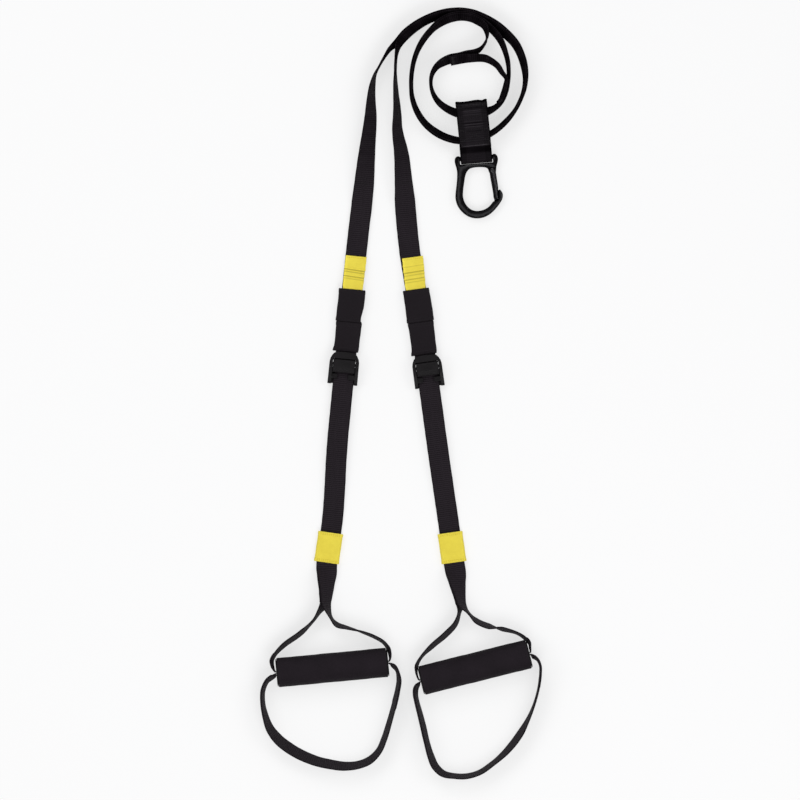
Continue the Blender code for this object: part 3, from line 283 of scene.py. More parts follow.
def foam_material(name):
    """Closed-cell foam: fine pits, a few larger dimples and a soft handled bloom."""
    k = Nodes(name)
    vec = k.place()
    cell = k.new("ShaderNodeTexVoronoi")
    cell.inputs["Scale"].default_value = 1500.0
    k.link(vec, cell.inputs["Vector"])
    pits = k.math("POWER", cell.outputs["Distance"], 0.7)
    fine = k.noise(vec, 5200.0, 2.0)
    dimple = k.noise(vec, 170.0, 3.0, 0.55)
    height = k.math("ADD", k.math("MULTIPLY", pits, 0.6),
                    k.math("ADD", k.math("MULTIPLY", fine, 0.3), k.math("MULTIPLY", dimple, 1.3)))
    bloom = k.noise(vec, 34.0, 4.0, 0.62)
    tone = k.math("ADD", k.math("MULTIPLY", bloom, 0.7), k.math("MULTIPLY", pits, 0.25))
    k.link(k.ramp(tone, [(0.30, (0.0085, 0.0060, 0.0085)), (0.72, (0.0150, 0.0112, 0.0150))]),
           k.bsdf.inputs["Base Color"])
    k.link(k.ramp(bloom, [(0.3, (0.82,) * 3), (0.75, (0.94,) * 3)]), k.bsdf.inputs["Roughness"])
    k.link(k.bump(height, 0.00022, 0.75), k.bsdf.inputs["Normal"])
    k.set(Sheen_Weight=0.03, Sheen_Roughness=0.4, Specular_IOR_Level=0.13)
    return k.mat


def plastic(name, dark, light, rough=(0.38, 0.52), grain=0.00008):
    """Fine-grained moulded plastic with scuffed patches."""
    k = Nodes(name)
    vec = k.place()
    grains = k.noise(vec, 4200.0, 2.0)
    wear = k.noise(vec, 90.0, 5.0, 0.65)
    broad = k.noise(vec, 22.0, 2.0)
    k.link(k.ramp(k.math("ADD", k.math("MULTIPLY", wear, 0.6), k.math("MULTIPLY", broad, 0.4)),
                  [(0.3, dark), (0.75, light)]), k.bsdf.inputs["Base Color"])
    k.link(k.ramp(wear, [(0.3, (rough[0],) * 3), (0.75, (rough[1],) * 3)]),
           k.bsdf.inputs["Roughness"])
    scuff_vec = k.new("ShaderNodeMapping")
    scuff_vec.inputs["Rotation"].default_value = (0.3, 0.2, 0.7)
    scuff_vec.inputs["Scale"].default_value = (2400.0, 90.0, 900.0)
    k.link(vec, scuff_vec.inputs["Vector"])
    scuff = k.math("GREATER_THAN", k.noise(scuff_vec.outputs[0], 1.0, 1.0), 0.71)
    height = k.math("SUBTRACT", k.math("MULTIPLY", grains, 0.7), k.math("MULTIPLY", scuff, 0.35))
    k.link(k.bump(height, grain, 0.8), k.bsdf.inputs["Normal"])
    k.set(Specular_IOR_Level=0.12)
    return k.mat


def coated(name, dark, light, rough, spec=0.34, limb=False):
    """Satin coating over cast metal: faint orange peel, rubbed a little lighter in places.
    With limb, the attribute rim (0 on a limb's outer side, 1 on its inner side) places a
    painted highlight band along it, a painted reflection of the light above, with painted shade
    towards both sides."""
    k = Nodes(name)
    vec = k.place()
    peel = k.noise(vec, 700.0, 3.0, 0.5)
    fine = k.noise(vec, 3800.0, 2.0)
    rub = k.noise(vec, 75.0, 5.0, 0.68)
    k.link(k.ramp(rub, [(0.35, dark), (0.78, light)]), k.bsdf.inputs["Base Color"])
    k.link(k.ramp(rub, [(0.3, (rough[0],) * 3), (0.8, (rough[1],) * 3)]),
           k.bsdf.inputs["Roughness"])
    height = k.math("ADD", k.math("MULTIPLY", peel, 0.8), k.math("MULTIPLY", fine, 0.25))
    k.link(k.bump(height, 0.00012, 0.7), k.bsdf.inputs["Normal"])
    k.set(Metallic=0.1, Specular_IOR_Level=spec)
    if limb:
        rim = k.new("ShaderNodeAttribute", attribute_name="rim").outputs["Fac"]
        drift = k.math("SUBTRACT", k.noise(vec, 210.0, 4.0, 0.62), 0.5)
        across = k.math("ADD", rim, k.math("MULTIPLY", drift, 0.42))
        # painted highlight band on the limb's crown, a painted reflection of the light above;
        # painted shade towards both sides
        band = k.ramp(across, [(0.0, (0.0,) * 3), (0.16, (0.06,) * 3), (0.27, (0.80,) * 3),
                               (0.34, (1.0,) * 3), (0.46, (0.66,) * 3), (0.58, (0.14,) * 3),
                               (1.0, (0.0,) * 3)])
        spark = k.math("MULTIPLY", k.math("GREATER_THAN", k.noise(vec, 620.0, 2.0), 0.60), band)
        k.link(k.mix(band, dark, light), k.bsdf.inputs["Base Color"])
        k.link(k.math("ADD", k.math("MULTIPLY", band, spec - 0.02),
                      k.math("ADD", k.math("MULTIPLY", spark, 0.16), 0.02)),
               k.bsdf.inputs["Specular IOR Level"])
    return k.mat


def steel(name, dark, light):
    """Drawn steel with fine lengthwise marks."""
    k = Nodes(name)
    vec = k.place()
    marks = k.new("ShaderNodeMapping")
    marks.inputs["Scale"].default_value = (300.0, 5200.0, 5200.0)
    k.link(vec, marks.inputs["Vector"])
    draw = k.noise(marks.outputs[0], 1.0, 2.0)
    stain = k.noise(vec, 320.0, 3.0)
    k.link(k.ramp(stain, [(0.3, dark), (0.75, light)]), k.bsdf.inputs["Base Color"])
    k.link(k.ramp(draw, [(0.3, (0.28,) * 3), (0.8, (0.46,) * 3)]), k.bsdf.inputs["Roughness"])
    k.link(k.bump(draw, 0.00004, 0.6), k.bsdf.inputs["Normal"])
    k.set(Metallic=1.0)
    return k.mat


WEB = webbing("webbing_black", (0.0034, 0.0024, 0.0033), (0.0222, 0.0176, 0.0220))
WEB_WIDE = webbing("webbing_anchor", (0.0034, 0.0025, 0.0034), (0.0168, 0.0136, 0.0170),
                   pitch=0.0026, column=0.0012, ribs=0.6)
SLEEVE = cloth("sleeve_black", (0.0072, 0.0050, 0.0070), (0.0132, 0.0098, 0.0130))
YELLOW = cloth("fabric_yellow", (0.70, 0.570, 0.052), (0.86, 0.735, 0.085), pitch=0.0007,
               sheen=0.04, spec=0.22)
YELLOW_THREAD = cloth("thread_yellow", (0.46, 0.36, 0.018), (0.68, 0.56, 0.04), pitch=0.0004,
                      coords="place", spec=0.2)
THREAD = cloth("thread_black", (0.010, 0.0085, 0.010), (0.026, 0.023, 0.026), pitch=0.0004,
               coords="place")
FOAM = foam_material("foam_black")
PLASTIC = plastic("plastic_black", (0.0038, 0.0032, 0.0038), (0.0090, 0.0078, 0.0090))
PLASTIC_DARK = plastic("plastic_core", (0.004, 0.004, 0.004), (0.009, 0.0085, 0.009))
FORGED = coated("coating_forging", (0.0022, 0.0018, 0.0024), (0.0185, 0.0180, 0.0205),
                (0.20, 0.38), spec=0.36, limb=True)
GATE = coated("coating_gate", (0.0024, 0.0020, 0.0026), (0.0300, 0.0290, 0.0330),
              (0.20, 0.36), spec=0.46, limb=True)
STEEL = steel("steel_drawn", (0.30, 0.30, 0.31), (0.47, 0.47, 0.48))
STEEL_DARK = steel("steel_blackened", (0.030, 0.030, 0.032), (0.075, 0.075, 0.078))


def floor():
    k = Nodes("paper_floor")
    vec = k.place()
    fine = k.noise(vec, 900.0, 3.0)
    k.link(k.ramp(fine, [(0.3, (0.300, 0.300, 0.303)), (0.7, (0.310, 0.310, 0.313))]),
           k.bsdf.inputs["Base Color"])
    k.set(Roughness=0.95, Specular_IOR_Level=0.05, Emission_Strength=0.645)
    k.bsdf.inputs["Emission Color"].default_value = (1.0, 1.0, 1.0, 1)
    bm = bmesh.new()
    bmesh.ops.create_grid(bm, x_segments=1, y_segments=1, size=3.0)
    me = bpy.data.meshes.new("floor")
    bm.to_mesh(me)
    bm.free()
    ob = bpy.data.objects.new("floor", me)
    ob.location = (0, 0, -0.0002)
    bpy.context.scene.collection.objects.link(ob)
    me.materials.append(k.mat)
    ob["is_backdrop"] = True


floor()


# ---------------------------------------------------------------- objects
def finish(name, bm, mat, body, nodes=(), smooth=True, angle=40, recalc=True):
    """A bmesh in millimetres becomes a piece in metres that rides on a body."""
    if recalc:
        bmesh.ops.recalc_face_normals(bm, faces=bm.faces)
    bmesh.ops.scale(bm, vec=(MM, MM, MM), verts=bm.verts)
    mesh = bpy.data.meshes.new(name)
    bm.to_mesh(mesh)
    bm.free()
    ob = bpy.data.objects.new(name, mesh)
    bpy.context.scene.collection.objects.link(ob)
    mesh.materials.append(mat)
    if smooth:
        mesh.shade_smooth()
        mesh.set_sharp_from_angle(angle=math.radians(angle))
    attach(ob, body)
    if nodes:
        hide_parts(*nodes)
    return ob


def lay_layer(bm):
    return bm.verts.layers.float_vector.new("lay")


# ---------------------------------------------------------------- curves
def monotone_slopes(knots, values, closed, period):
    """Slopes that keep a cubic between neighbouring values, without overshoot."""
    n = len(values)
    slopes = []
    for i in range(n):
        if not closed and i in (0, n - 1):
            slopes.append(0.0)
            continue
        j, k = (i - 1) % n, (i + 1) % n
        h0 = (knots[i] - knots[j]) % period if closed else knots[i] - knots[j]
        h1 = (knots[k] - knots[i]) % period if closed else knots[k] - knots[i]
        d0, d1 = (values[i] - values[j]) / h0, (values[k] - values[i]) / h1
        if d0 * d1 <= 0:
            slopes.append(0.0)
        else:
            a, b = 2 * h1 + h0, h1 + 2 * h0
            slopes.append((a + b) / (a / d0 + b / d1))
    return slopes


def curve(points, step=3.0, closed=False, marks=None):
    """Smooth curve through rows of numbers: a centripetal Catmull-Rom curve in the first
    two, and a monotone cubic in the others. marks gathers the index of each row."""
    pts = [np.array(p, dtype=float) for p in points]
    n = len(pts)
    count = n if closed else n - 1
    gaps = [max(math.hypot(*(pts[(i + 1) % n] - pts[i])[:2]), 1e-3) ** 0.5
            for i in range(count)]
    knots = [0.0]
    for g in gaps:
        knots.append(knots[-1] + g)
    period = knots[-1] if closed else None
    extra = [monotone_slopes(knots[:n], [p[c] for p in pts], closed, period)
             for c in range(2, len(pts[0]))]
    out = []
    for i in range(count):
        if marks is not None:
            marks.append(len(out))
        j = (i + 1) % n
        if closed:
            quad = [pts[(i + k) % n] for k in (-1, 0, 1, 2)]
        else:
            quad = [pts[i - 1] if i > 0 else 2 * pts[0] - pts[1], pts[i], pts[i + 1],
                    pts[i + 2] if i + 2 < n else 2 * pts[-1] - pts[-2]]
        t = [0.0]
        for a, b in zip(quad, quad[1:]):
            t.append(t[-1] + max(math.hypot(b[0] - a[0], b[1] - a[1]), 1e-3) ** 0.5)
        steps = max(1, math.ceil(math.hypot(*(quad[2] - quad[1])[:2]) / step))
        for k in range(steps):
            f = k / steps
            x = t[1] + (t[2] - t[1]) * f
            a = [(quad[m] * (t[m + 1] - x) + quad[m + 1] * (x - t[m])) / (t[m + 1] - t[m])
                 for m in range(3)]
            b = [(a[m] * (t[m + 2] - x) + a[m + 1] * (x - t[m])) / (t[m + 2] - t[m])
                 for m in range(2)]
            row = (b[0] * (t[2] - x) + b[1] * (x - t[1])) / (t[2] - t[1])
            for c, slopes in enumerate(extra, 2):
                h = gaps[i]
                row[c] = ((2 * f ** 3 - 3 * f ** 2 + 1) * pts[i][c]
                          + (f ** 3 - 2 * f ** 2 + f) * h * slopes[i]
                          + (-2 * f ** 3 + 3 * f ** 2) * pts[j][c]
                          + (f ** 3 - f ** 2) * h * slopes[j])
            out.append(row)
    if not closed:
        if marks is not None:
            marks.append(len(out))
        out.append(pts[-1])
    return out


def rest_height(roll, extra=0.0):
    """Height of a strap's middle when its lower edge rests on the table. roll is 0 for
    a strap on its edge and 90 or -90 for a flat one."""
    a = math.radians(abs(roll))
    return 0.5 * WEB_W * math.cos(a) + (0.5 * WEB_T + extra) * math.sin(a) + GAP


def stations(samples, closed=False):
    """Rows of (x, y, roll, z) to frames (middle, across, face normal)."""
    out = []
    n = len(samples)
    for i, s in enumerate(samples):
        a = samples[(i - 1) % n] if closed or i > 0 else samples[i]
        b = samples[(i + 1) % n] if closed or i < n - 1 else samples[i]
        t = Vector((b[0] - a[0], b[1] - a[1], b[3] - a[3])).normalized()
        left = Vector((-t.y, t.x, 0)).normalized()
        r = math.radians(s[2])
        w = math.cos(r) * Vector((0, 0, 1)) + math.sin(r) * left
        w = (w - t * t.dot(w)).normalized()
        out.append((Vector((s[0], s[1], s[3])), w, t.cross(w)))
    return out


def beside(frames, offset):
    return [(p + n * offset, w, n) for p, w, n in frames]


def as_rows(frames, every=12.0):
    """Frames back to rows of (x, y, roll, z), about every so many millimetres."""
    rows = []
    last = None
    end = frames[-1][0]
    for i, (p, w, n) in enumerate(frames):
        close = last is not None and (p - last).length < every
        if i != len(frames) - 1 and (close or (end - p).length < every * 0.6 and i > 0):
            continue
        q = frames[min(i + 1, len(frames) - 1)][0] - frames[max(i - 1, 0)][0]
        left = Vector((-q.y, q.x, 0)).normalized()
        rows.append((p.x, p.y, math.degrees(math.atan2(w.dot(left), w.z)), p.z))
        last = p
    return rows


def grid_rows(table, extra=0.0):
    """Rows of (grid u, grid v, roll, lift) to (x, y, roll, z)."""
    return [(*plan(u, v), roll, rest_height(roll, extra) + lift)
            for u, v, roll, lift in table]


def smoothstep(x, lo, hi):
    t = min(1.0, max(0.0, (x - lo) / (hi - lo)))
    return t * t * (3 - 2 * t)


def fill_in(frames, step=2.5, closed=False):
    """Splits long straight stretches so that a strap's surface can vary along them."""
    out = []
    n = len(frames)
    for i in range(n if closed else n - 1):
        (p, w, m), (q, v, k) = frames[i], frames[(i + 1) % n]
        count = max(1, math.ceil((q - p).length / step))
        for j in range(count):
            f = j / count
            out.append((p.lerp(q, f), w.lerp(v, f).normalized(), m.lerp(k, f).normalized()))
    if not closed:
        out.append(frames[-1])
    return out


# ---------------------------------------------------------------- webbing
class Strip:
    """A strap's frames with the distance along them, to find places on its faces."""

    def __init__(self, frames, width, thick, closed=False):
        self.frames, self.width, self.thick, self.closed = frames, width, thick, closed
        self.s = [0.0]
        for (p, _, _), (q, _, _) in zip(frames, frames[1:]):
            self.s.append(self.s[-1] + (q - p).length)
        self.length = self.s[-1]
        if closed:
            self.length += (frames[0][0] - frames[-1][0]).length

    def at(self, s, w, side, lift=0.0):
        """Point and normal at s along, w across, on face side (1 or -1)."""
        s = min(max(s, 0.0), self.s[-1])
        i = int(np.searchsorted(self.s, s)) - 1
        i = min(max(i, 0), len(self.frames) - 2)
        f = (s - self.s[i]) / max(1e-9, self.s[i + 1] - self.s[i])
        (p, a, n), (q, b, m) = self.frames[i], self.frames[i + 1]
        normal = (n.lerp(m, f)).normalized() * side
        across = a.lerp(b, f).normalized()
        return p.lerp(q, f) + across * w + normal * (self.thick / 2 + lift), normal

    def near(self, x, y):
        """Distance along at the frame nearest to a plan point."""
        best = min(range(len(self.frames)),
                   key=lambda i: (self.frames[i][0].x - x) ** 2 + (self.frames[i][0].y - y) ** 2)
        return self.s[best]


def web_mesh(strip, seed=0.0, ripple=1.0, relief=None, shade=None):
    """Ring of points round the strap at each frame, with rounded selvedges."""
    half, t = strip.width / 2, strip.thick / 2
    r = t * 0.95
    face = [1.0, 0.93, 0.72, 0.45, 0.15, -0.15, -0.45, -0.72, -0.93, -1.0]
    ring = [(x * (half - r), t * (0.90 if abs(x) > 0.96 else 1.0), x) for x in face]
    ring += [(-half + 0.35 * r, t * 0.62, -1.0), (-half, 0.0, -1.0),
             (-half + 0.35 * r, -t * 0.62, -1.0)]
    ring += [(-x * (half - r), -t * (0.90 if abs(x) > 0.96 else 1.0), -x) for x in face]
    ring += [(half - 0.35 * r, -t * 0.62, 1.0), (half, 0.0, 1.0),
             (half - 0.35 * r, t * 0.62, 1.0)]
    bm = bmesh.new()
    layer = lay_layer(bm)
    # the shade layer holds painted shade and painted highlight for the material
    tone = bm.verts.layers.float.new("shade")
    rings = []
    for i, (p, w, n) in enumerate(strip.frames):
        s = strip.s[i]
        # a little unevenness; it repeats over a closed strap's length
        u = 2 * math.pi * s / strip.length
        c = max(1, round(strip.length / 41.0)), max(1, round(strip.length / 17.0)), \
            max(1, round(strip.length / 9.3))
        a = math.sin(u * c[0] + seed) * 0.6 + math.sin(u * c[1] + 2.1 * seed + 1.0) * 0.4
        b = math.sin(u * c[1] + 1.7 * seed) * 0.6 + math.sin(u * c[2] + seed + 2.0) * 0.4
        e = math.sin(u * c[0] + 3.1 * seed + 0.5)
        row = []
        for x, y, k in ring:
            dw = 0.10 * ripple * (b if k > 0 else a) * (abs(k) ** 3)
            dn = ripple * (0.06 * e * k + 0.035 * a * (k * k))
            more = relief(i, x, y) if relief else Vector((0, 0, 0))
            v = bm.verts.new(p + w * (x + dw) + n * (y + dn) + more)
            v[layer] = (s * MM, x * MM, 1.0 if y >= 0 else -1.0)
            v[tone] = shade(i, x, y) if shade else 0.0
            row.append(v)
        rings.append(row)
    m = len(ring)
    pairs = list(zip(rings, rings[1:])) + ([(rings[-1], rings[0])] if strip.closed else [])
    for r0, r1 in pairs:
        for k in range(m):
            j = (k + 1) % m
            bm.faces.new((r0[k], r0[j], r1[j], r1[k]))
    if not strip.closed:
        bm.faces.new(rings[0])
        bm.faces.new(rings[-1][::-1])
    return bm


def web_piece(name, strip, mat, body, node, seed=0.0, ripple=1.0, relief=None, shade=None):
    return finish(name, web_mesh(strip, seed, ripple, relief, shade), mat, body,
                  (node,), angle=50)


# ---------------------------------------------------------------- stitching
def add_stitch(bm, a, b, up, r=0.32):
    """One stitch lying on a surface from a to b: a short, slightly sunk thread."""
    d = b - a
    length = d.length
    if length < 1e-6:
        return
    t = d / length
    side = t.cross(up).normalized()
    up = side.cross(t).normalized()
    rings = []
    for f, k, h in ((0.0, 0.25, -0.55), (0.14, 0.85, 0.15), (0.38, 1.0, 0.45),
                    (0.62, 1.0, 0.45), (0.86, 0.85, 0.15), (1.0, 0.25, -0.55)):
        c = a + d * f + up * (r * h)
        rings.append([bm.verts.new(c + side * (math.cos(q) * r * k)
                                   + up * (math.sin(q) * r * k * 0.8))
                      for q in (2 * math.pi * i / 6 for i in range(6))])
    for r0, r1 in zip(rings, rings[1:]):
        for i in range(6):
            j = (i + 1) % 6
            bm.faces.new((r0[i], r0[j], r1[j], r1[i]))
    bm.faces.new(rings[0][::-1])
    bm.faces.new(rings[-1])


def stitch_line(bm, spot, a, b, pitch=2.6, share=0.72, r=0.32):
    """Stitches from (s, w) a to b on a surface that spot(s, w) gives as point and normal."""
    length = math.hypot(b[0] - a[0], b[1] - a[1])
    count = max(1, round(length / pitch))
    for i in range(count):
        f0, f1 = (i + 0.5 - share / 2) / count, (i + 0.5 + share / 2) / count
        p, n = spot(a[0] + (b[0] - a[0]) * f0, a[1] + (b[1] - a[1]) * f0)
        q, m = spot(a[0] + (b[0] - a[0]) * f1, a[1] + (b[1] - a[1]) * f1)
        add_stitch(bm, p, q, (n + m).normalized(), r)


def zigzag(bm, spot, s, w0, w1, reach=1.1, pitch=0.9, r=0.28):
    """Bar tack: close zigzag stitches across a strap at s."""
    count = max(2, round((w1 - w0) / pitch))
    for i in range(count):
        a = w0 + (w1 - w0) * i / count
        b = w0 + (w1 - w0) * (i + 1) / count
        d = reach if i % 2 else -reach
        p, n = spot(s - d, a)
        q, m = spot(s + d, b)
        add_stitch(bm, p, q, (n + m).normalized(), r)


# ---------------------------------------------------------------- straight leg axes
class Leg:
    """The line that a leg's buckle, sleeves and adjusting strap follow. Local v is the
    distance down the leg from the buckle's middle and local u is to its right."""

    def __init__(self, side, u0, slope, buckle_v, buckle_shift):
        self.side = side
        self.u0, self.slope = u0, slope
        d = Vector((slope, -1, 0)).normalized()
        self.down = d
        self.right = Vector((-d.y, d.x, 0))
        self.buckle_shift = buckle_shift
        self.mid = Vector((*self.on(buckle_v), 0))

    def on(self, v):
        return plan(self.u0 + self.slope * (v - 256), v)

    def along(self, v):
        """Local v of the leg's point at plan grid row v."""
        return (Vector((*self.on(v), 0)) - self.mid).dot(self.down)

    def at(self, u, v, z):
        return self.mid + self.right * u + self.down * v + Vector((0, 0, z))

    def buckle(self, u, v, z):
        return self.at(u + self.buckle_shift, v, z)


LEFT = Leg("left", 355.4, -0.0967, 368.8, -0.9)
RIGHT = Leg("right", 411.5, 0.1361, 371.6, 0.8)


def leg_end(leg):
    """Frames of the main strap from its sewn-back tail, round the buckle's bar and up
    to the top of the sleeved length."""
    across = -leg.right
    wrap = BAR_R + GAP + WEB_T / 2
    points = []
    for v in (leg.along(325.5), -30.0, -24.0, -19.0, -15.0):
        z = TAIL_Z + (BAR_Z - wrap - TAIL_Z) * smoothstep(v, -22.0, BAR_V)
        points.append(leg.at(0, v, z))
    for k in range(9):
        a = math.radians(-90 + 180 * k / 8)
        points.append(leg.at(0, BAR_V + wrap * math.cos(a), BAR_Z + wrap * math.sin(a)))
    for v in (-15.0, -19.0, -23.0, -27.0, -31.0, -36.0, leg.along(325.0), leg.along(300.0)):
        z = RUN_Z + (BAR_Z + wrap - RUN_Z) * smoothstep(v, -36.0, BAR_V)
        points.append(leg.at(0, v, z))
    frames = []
    for i, p in enumerate(points):
        a, b = points[max(i - 1, 0)], points[min(i + 1, len(points) - 1)]
        t = (b - a).normalized()
        frames.append((p, across, t.cross(across)))
    return frames


# ---------------------------------------------------------------- main strap
COIL = [
    (399.1, 41.9, 22, 0), (405.4, 34.6, 24, 0), (414.8, 26.8, 22.5, 0),
    (425.4, 20.4, 21.5, 0), (437.2, 15.6, 21, 0), (449.1, 13.0, 22, 0),
    (460.5, 12.3, 22, 0), (471.9, 14.0, 22, 0), (483.8, 18.6, 22, 0),
    (495.6, 25.0, 21, 0), (506.4, 34.2, 21, 0), (515.5, 44.2, 19, 0),
    (521.2, 55.6, 16, 0), (524.3, 66.4, 13.5, 0), (525.5, 77.0, 9.5, 0),
    (524.4, 88.1, 6, 0), (520.8, 99.1, 4, 0), (515.2, 109.9, 5, 0),
    (507.6, 119.7, 8, 0), (498.4, 128.4, 9.5, 0), (488.0, 135.1, 11, 0),
    (475.3, 139.4, 12.5, 0), (461.9, 140.8, 14, 0), (449.0, 138.4, 15, 0),
    (436.7, 132.8, 15, 0), (425.4, 123.7, 13, 0), (417.0, 111.4, 10, 0),
    (412.4, 98.5, 7, 0), (411.2, 86.0, 4.5, 0), (411.6, 74.0, 5, 0),
    (413.6, 62.1, 6.5, 0), (417.6, 50.3, 8, 0), (423.0, 40.3, 10.5, 0),
    (430.8, 30.6, 12, 0), (440.5, 22.4, 18, 0), (450.2, 17.7, 21.5, 0),
    (461.0, 15.9, 22, 0), (471.9, 17.4, 22, 0), (481.3, 21.9, 21, 0),
]
LEFT_LEG = [
    (356.1, 254.0, 90, 2.85), (359.1, 227.1, 90, 2.85), (361.6, 206.6, 90, 2.85),
    (362.4, 198.6, 84, 2.2), (363.6, 189.0, 76, 1.1), (364.8, 176.0, 67, 0.3),
    (366.2, 160.0, 57, 0), (367.8, 144.0, 47, 0), (369.4, 130.0, 41, 0),
    (370.6, 116.0, 34, 0), (370.9, 104.0, 27, 0), (371.4, 94.0, 21, 0),
    (372.6, 84.0, 14.5, 0), (375.0, 74.5, 7, 0), (378.8, 67.1, 4, 0),
    (383.9, 58.0, 5.5, 0), (390.1, 48.8, 11, 0),
]
RIGHT_LEG = [
    (410.0, 254.2, 90, 2.85), (407.1, 228.0, 90, 2.85), (405.6, 210.0, 90, 2.85),
    (405.0, 202.0, 81, 2.2), (404.2, 191.0, 66, 1.0), (403.1, 175.0, 55, 0.3),
    (402.0, 160.0, 47, 0), (400.4, 148.0, 40.5, 0), (398.5, 138.0, 34, 0),
    (397.2, 128.0, 28, 0), (397.2, 116.0, 23.5, 0), (396.9, 106.0, 19, 0),
    (396.0, 94.0, 13.5, 0), (395.4, 82.0, 10, 0), (395.4, 70.0, 5.5, 0),
    (395.8, 60.0, 5.5, 0), (397.0, 51.0, 10, 0),
]
STRAND_OUT = [
    (494.4, 32.1, 19, 0), (500.8, 40.8, 17, 0), (505.0, 51.0, 13.5, 0),
    (507.7, 61.0, 11.5, 0), (508.7, 71.0, 9, 0), (508.2, 81.0, 9.5, 0),
    (506.0, 91.4, 11.5, 0), (501.6, 101.0, 12, 0.5), (495.0, 107.6, 15, 1.8),
    (488.0, 111.0, 22, 2.3), (481.0, 113.2, 28, 2.3),
]
STRAND_IN = [
    (485.3, 27.7, 15.5, 0), (487.2, 35.0, 6, 0), (485.5, 42.1, -3, 0),
    (481.0, 48.3, -9.5, 0), (474.8, 52.3, -18, 0), (467.2, 54.9, -25, 0),
    (459.1, 57.4, -27, 0), (451.5, 58.7, -27, 0), (444.0, 61.5, -24, 0),
    (436.6, 66.7, -16, 0), (431.9, 74.8, -10, 0), (430.9, 84.0, -7.5, 0),
    (433.2, 93.6, -10.5, 0), (438.7, 102.1, -15, 0.3), (447.0, 108.6, -19.5, 1.6),
    (456.4, 112.8, -23.5, 2.3), (464.5, 114.2, -29, 2.3),
]
RING_LOW = (472.5, 114.4, 31, 2.3)

pair = stations(curve(grid_rows(COIL, PAIR / 2), 2.5))


def strand(leg, leg_table, offset, end_table, low_sign):
    u, v, roll, lift = RING_LOW
    low = (*plan(u, v), low_sign * roll, rest_height(roll) + lift)
    near = as_rows(beside(pair, offset), 8.0)
    marks = []
    head = grid_rows(leg_table)
    first = stations(curve(head + near[:4], 2.5, marks=marks))[:marks[len(head)] - 1]
    marks = []
    last = stations(curve(near[-4:] + grid_rows(end_table) + [low], 2.5,
                          marks=marks))[marks[3] + 2:]
    return leg_end(leg) + first + beside(pair, offset) + last, last


left_half, left_run = strand(LEFT, LEFT_LEG, -PAIR / 2, STRAND_OUT, 1)
right_half, right_run = strand(RIGHT, RIGHT_LEG, PAIR / 2, STRAND_IN, -1)
right_back = [(p, w, -n) for p, w, n in reversed(right_half)][1:]
main = Strip(fill_in(left_half + right_back, 3.0), WEB_W, WEB_T)


def ridge(x, middle, width, height):
    """Rounded rib across a strap."""
    k = abs(x - middle) / (width / 2)
    return height * (0.5 + 0.5 * math.cos(math.pi * k)) if k < 1 else 0.0


def coil_shade(frames):
    """Painted shade on the coil, eased on the legs; painted highlight on the bound edges."""
    run = [0.0]
    for a, b in zip(frames, frames[1:]):
        run.append(run[-1] + (b[0] - a[0]).length)

    def shade(i, x, y):
        p, _, n = frames[i]
        s = run[min(i, len(run) - 1)]
        # painted shade: full from plan row 140 up, fading out by row 190, and eased on the legs
        k = smoothstep(p.y, plan(0, 190.0)[1], plan(0, 140.0)[1])
        leg = smoothstep(-p.x, -plan(407.0, 0)[0], -plan(402.0, 0)[0]) * \
            smoothstep(-p.y, -plan(0, 50.0)[1], -plan(0, 90.0)[1])
        k *= 1 - 0.70 * leg
        # random blotches along the strap lift the painted shade; a paler band runs across one face
        blotch = 0.5 + 0.26 * math.sin(0.31 * s) + 0.16 * math.sin(0.83 * s + 1.7) \
            + 0.08 * math.sin(2.1 * s + 0.4 * x)
        streak = ridge(x, 7.0 + 3.0 * math.sin(0.11 * s), 4.5, 1.0) * y
        # painted highlight along the bound edges
        edge = smoothstep(abs(x), 11.4, 12.1)
        return max(-0.86, k * (-0.76 + 0.42 * blotch + 0.45 * blotch * streak + 0.30 * edge))
    return shade


tight = Vector((*plan(486.7, 37.0), 0))


def main_relief(i, x, y):
    """The weave stands fuller in the tightest bend."""
    p, w, n = main.frames[i]
    d = (Vector((p.x, p.y, 0)) - tight).length
    return n * (0.5 * (1 - smoothstep(d, 5.0, 11.0)) * max(-1.0, min(1.0, y / 0.6)))


main_piece = web_piece("main_strap_webbing", main, WEB, "root", "main_strap", seed=0.7,
                       relief=main_relief, shade=coil_shade(main.frames))

# ---------------------------------------------------------------- lock strap of the ring
x_left, _ = plan(448.4, 0)
x_mid, _ = plan(461.8, 0)
_, y_top = plan(0, 78.0)
_, y_low = plan(0, 104.0)
inner_side = [f for f in right_run if x_left <= f[0].x <= x_mid
              and plan(0, 70.0)[1] < f[0].y < plan(0, 52.0)[1]]
outer_side = [f for f in left_run if y_low <= f[0].y <= y_top
              and f[0].x > plan(490, 0)[0]]
lock_start = [(p - n * (PAIR + 0.5), w, -n) for p, w, n in reversed(inner_side)]
lock_end = [(p + n * (PAIR + 0.5), w, n) for p, w, n in outer_side]
LOCK_MID = [
    (470.0, 58.2, 23, 0), (478.1, 57.8, 22, 0), (485.1, 58.4, 21, 0),
    (491.4, 61.2, 17, 0), (497.6, 65.9, 15, 0), (501.6, 71.9, 12.5, 0),
]
lock_rows = as_rows(lock_start, 5.0) + grid_rows(LOCK_MID) + as_rows(lock_end, 5.0)
lock = Strip(stations(curve(lock_rows, 2.5)), WEB_W, WEB_T)


def lock_relief(i, x, y):
    """The end is pressed flat against the strand beside it."""
    k = smoothstep(lock.s[i], lock.length - 15.0, lock.length)
    return lock.frames[i][2] * (-1.7 * k * smoothstep(y, -1.1, 1.1))


lock_piece = web_piece("ring_lock_webbing", lock, WEB, "root", "ring_lock_strap", seed=2.3,
                       ripple=0.6, relief=lock_relief, shade=coil_shade(lock.frames))
bm = bmesh.new()
for side in (1,):
    spot = lambda s, w, side=side: lock.at(s, w, side, 0.05)
    for s in (2.2, 4.4):
        stitch_line(bm, spot, (s, -11.2), (s, 11.2), 2.4)
    zigzag(bm, spot, 3.3, -10.6, 10.6)
finish("ring_lock_stitching", bm, THREAD, "root")

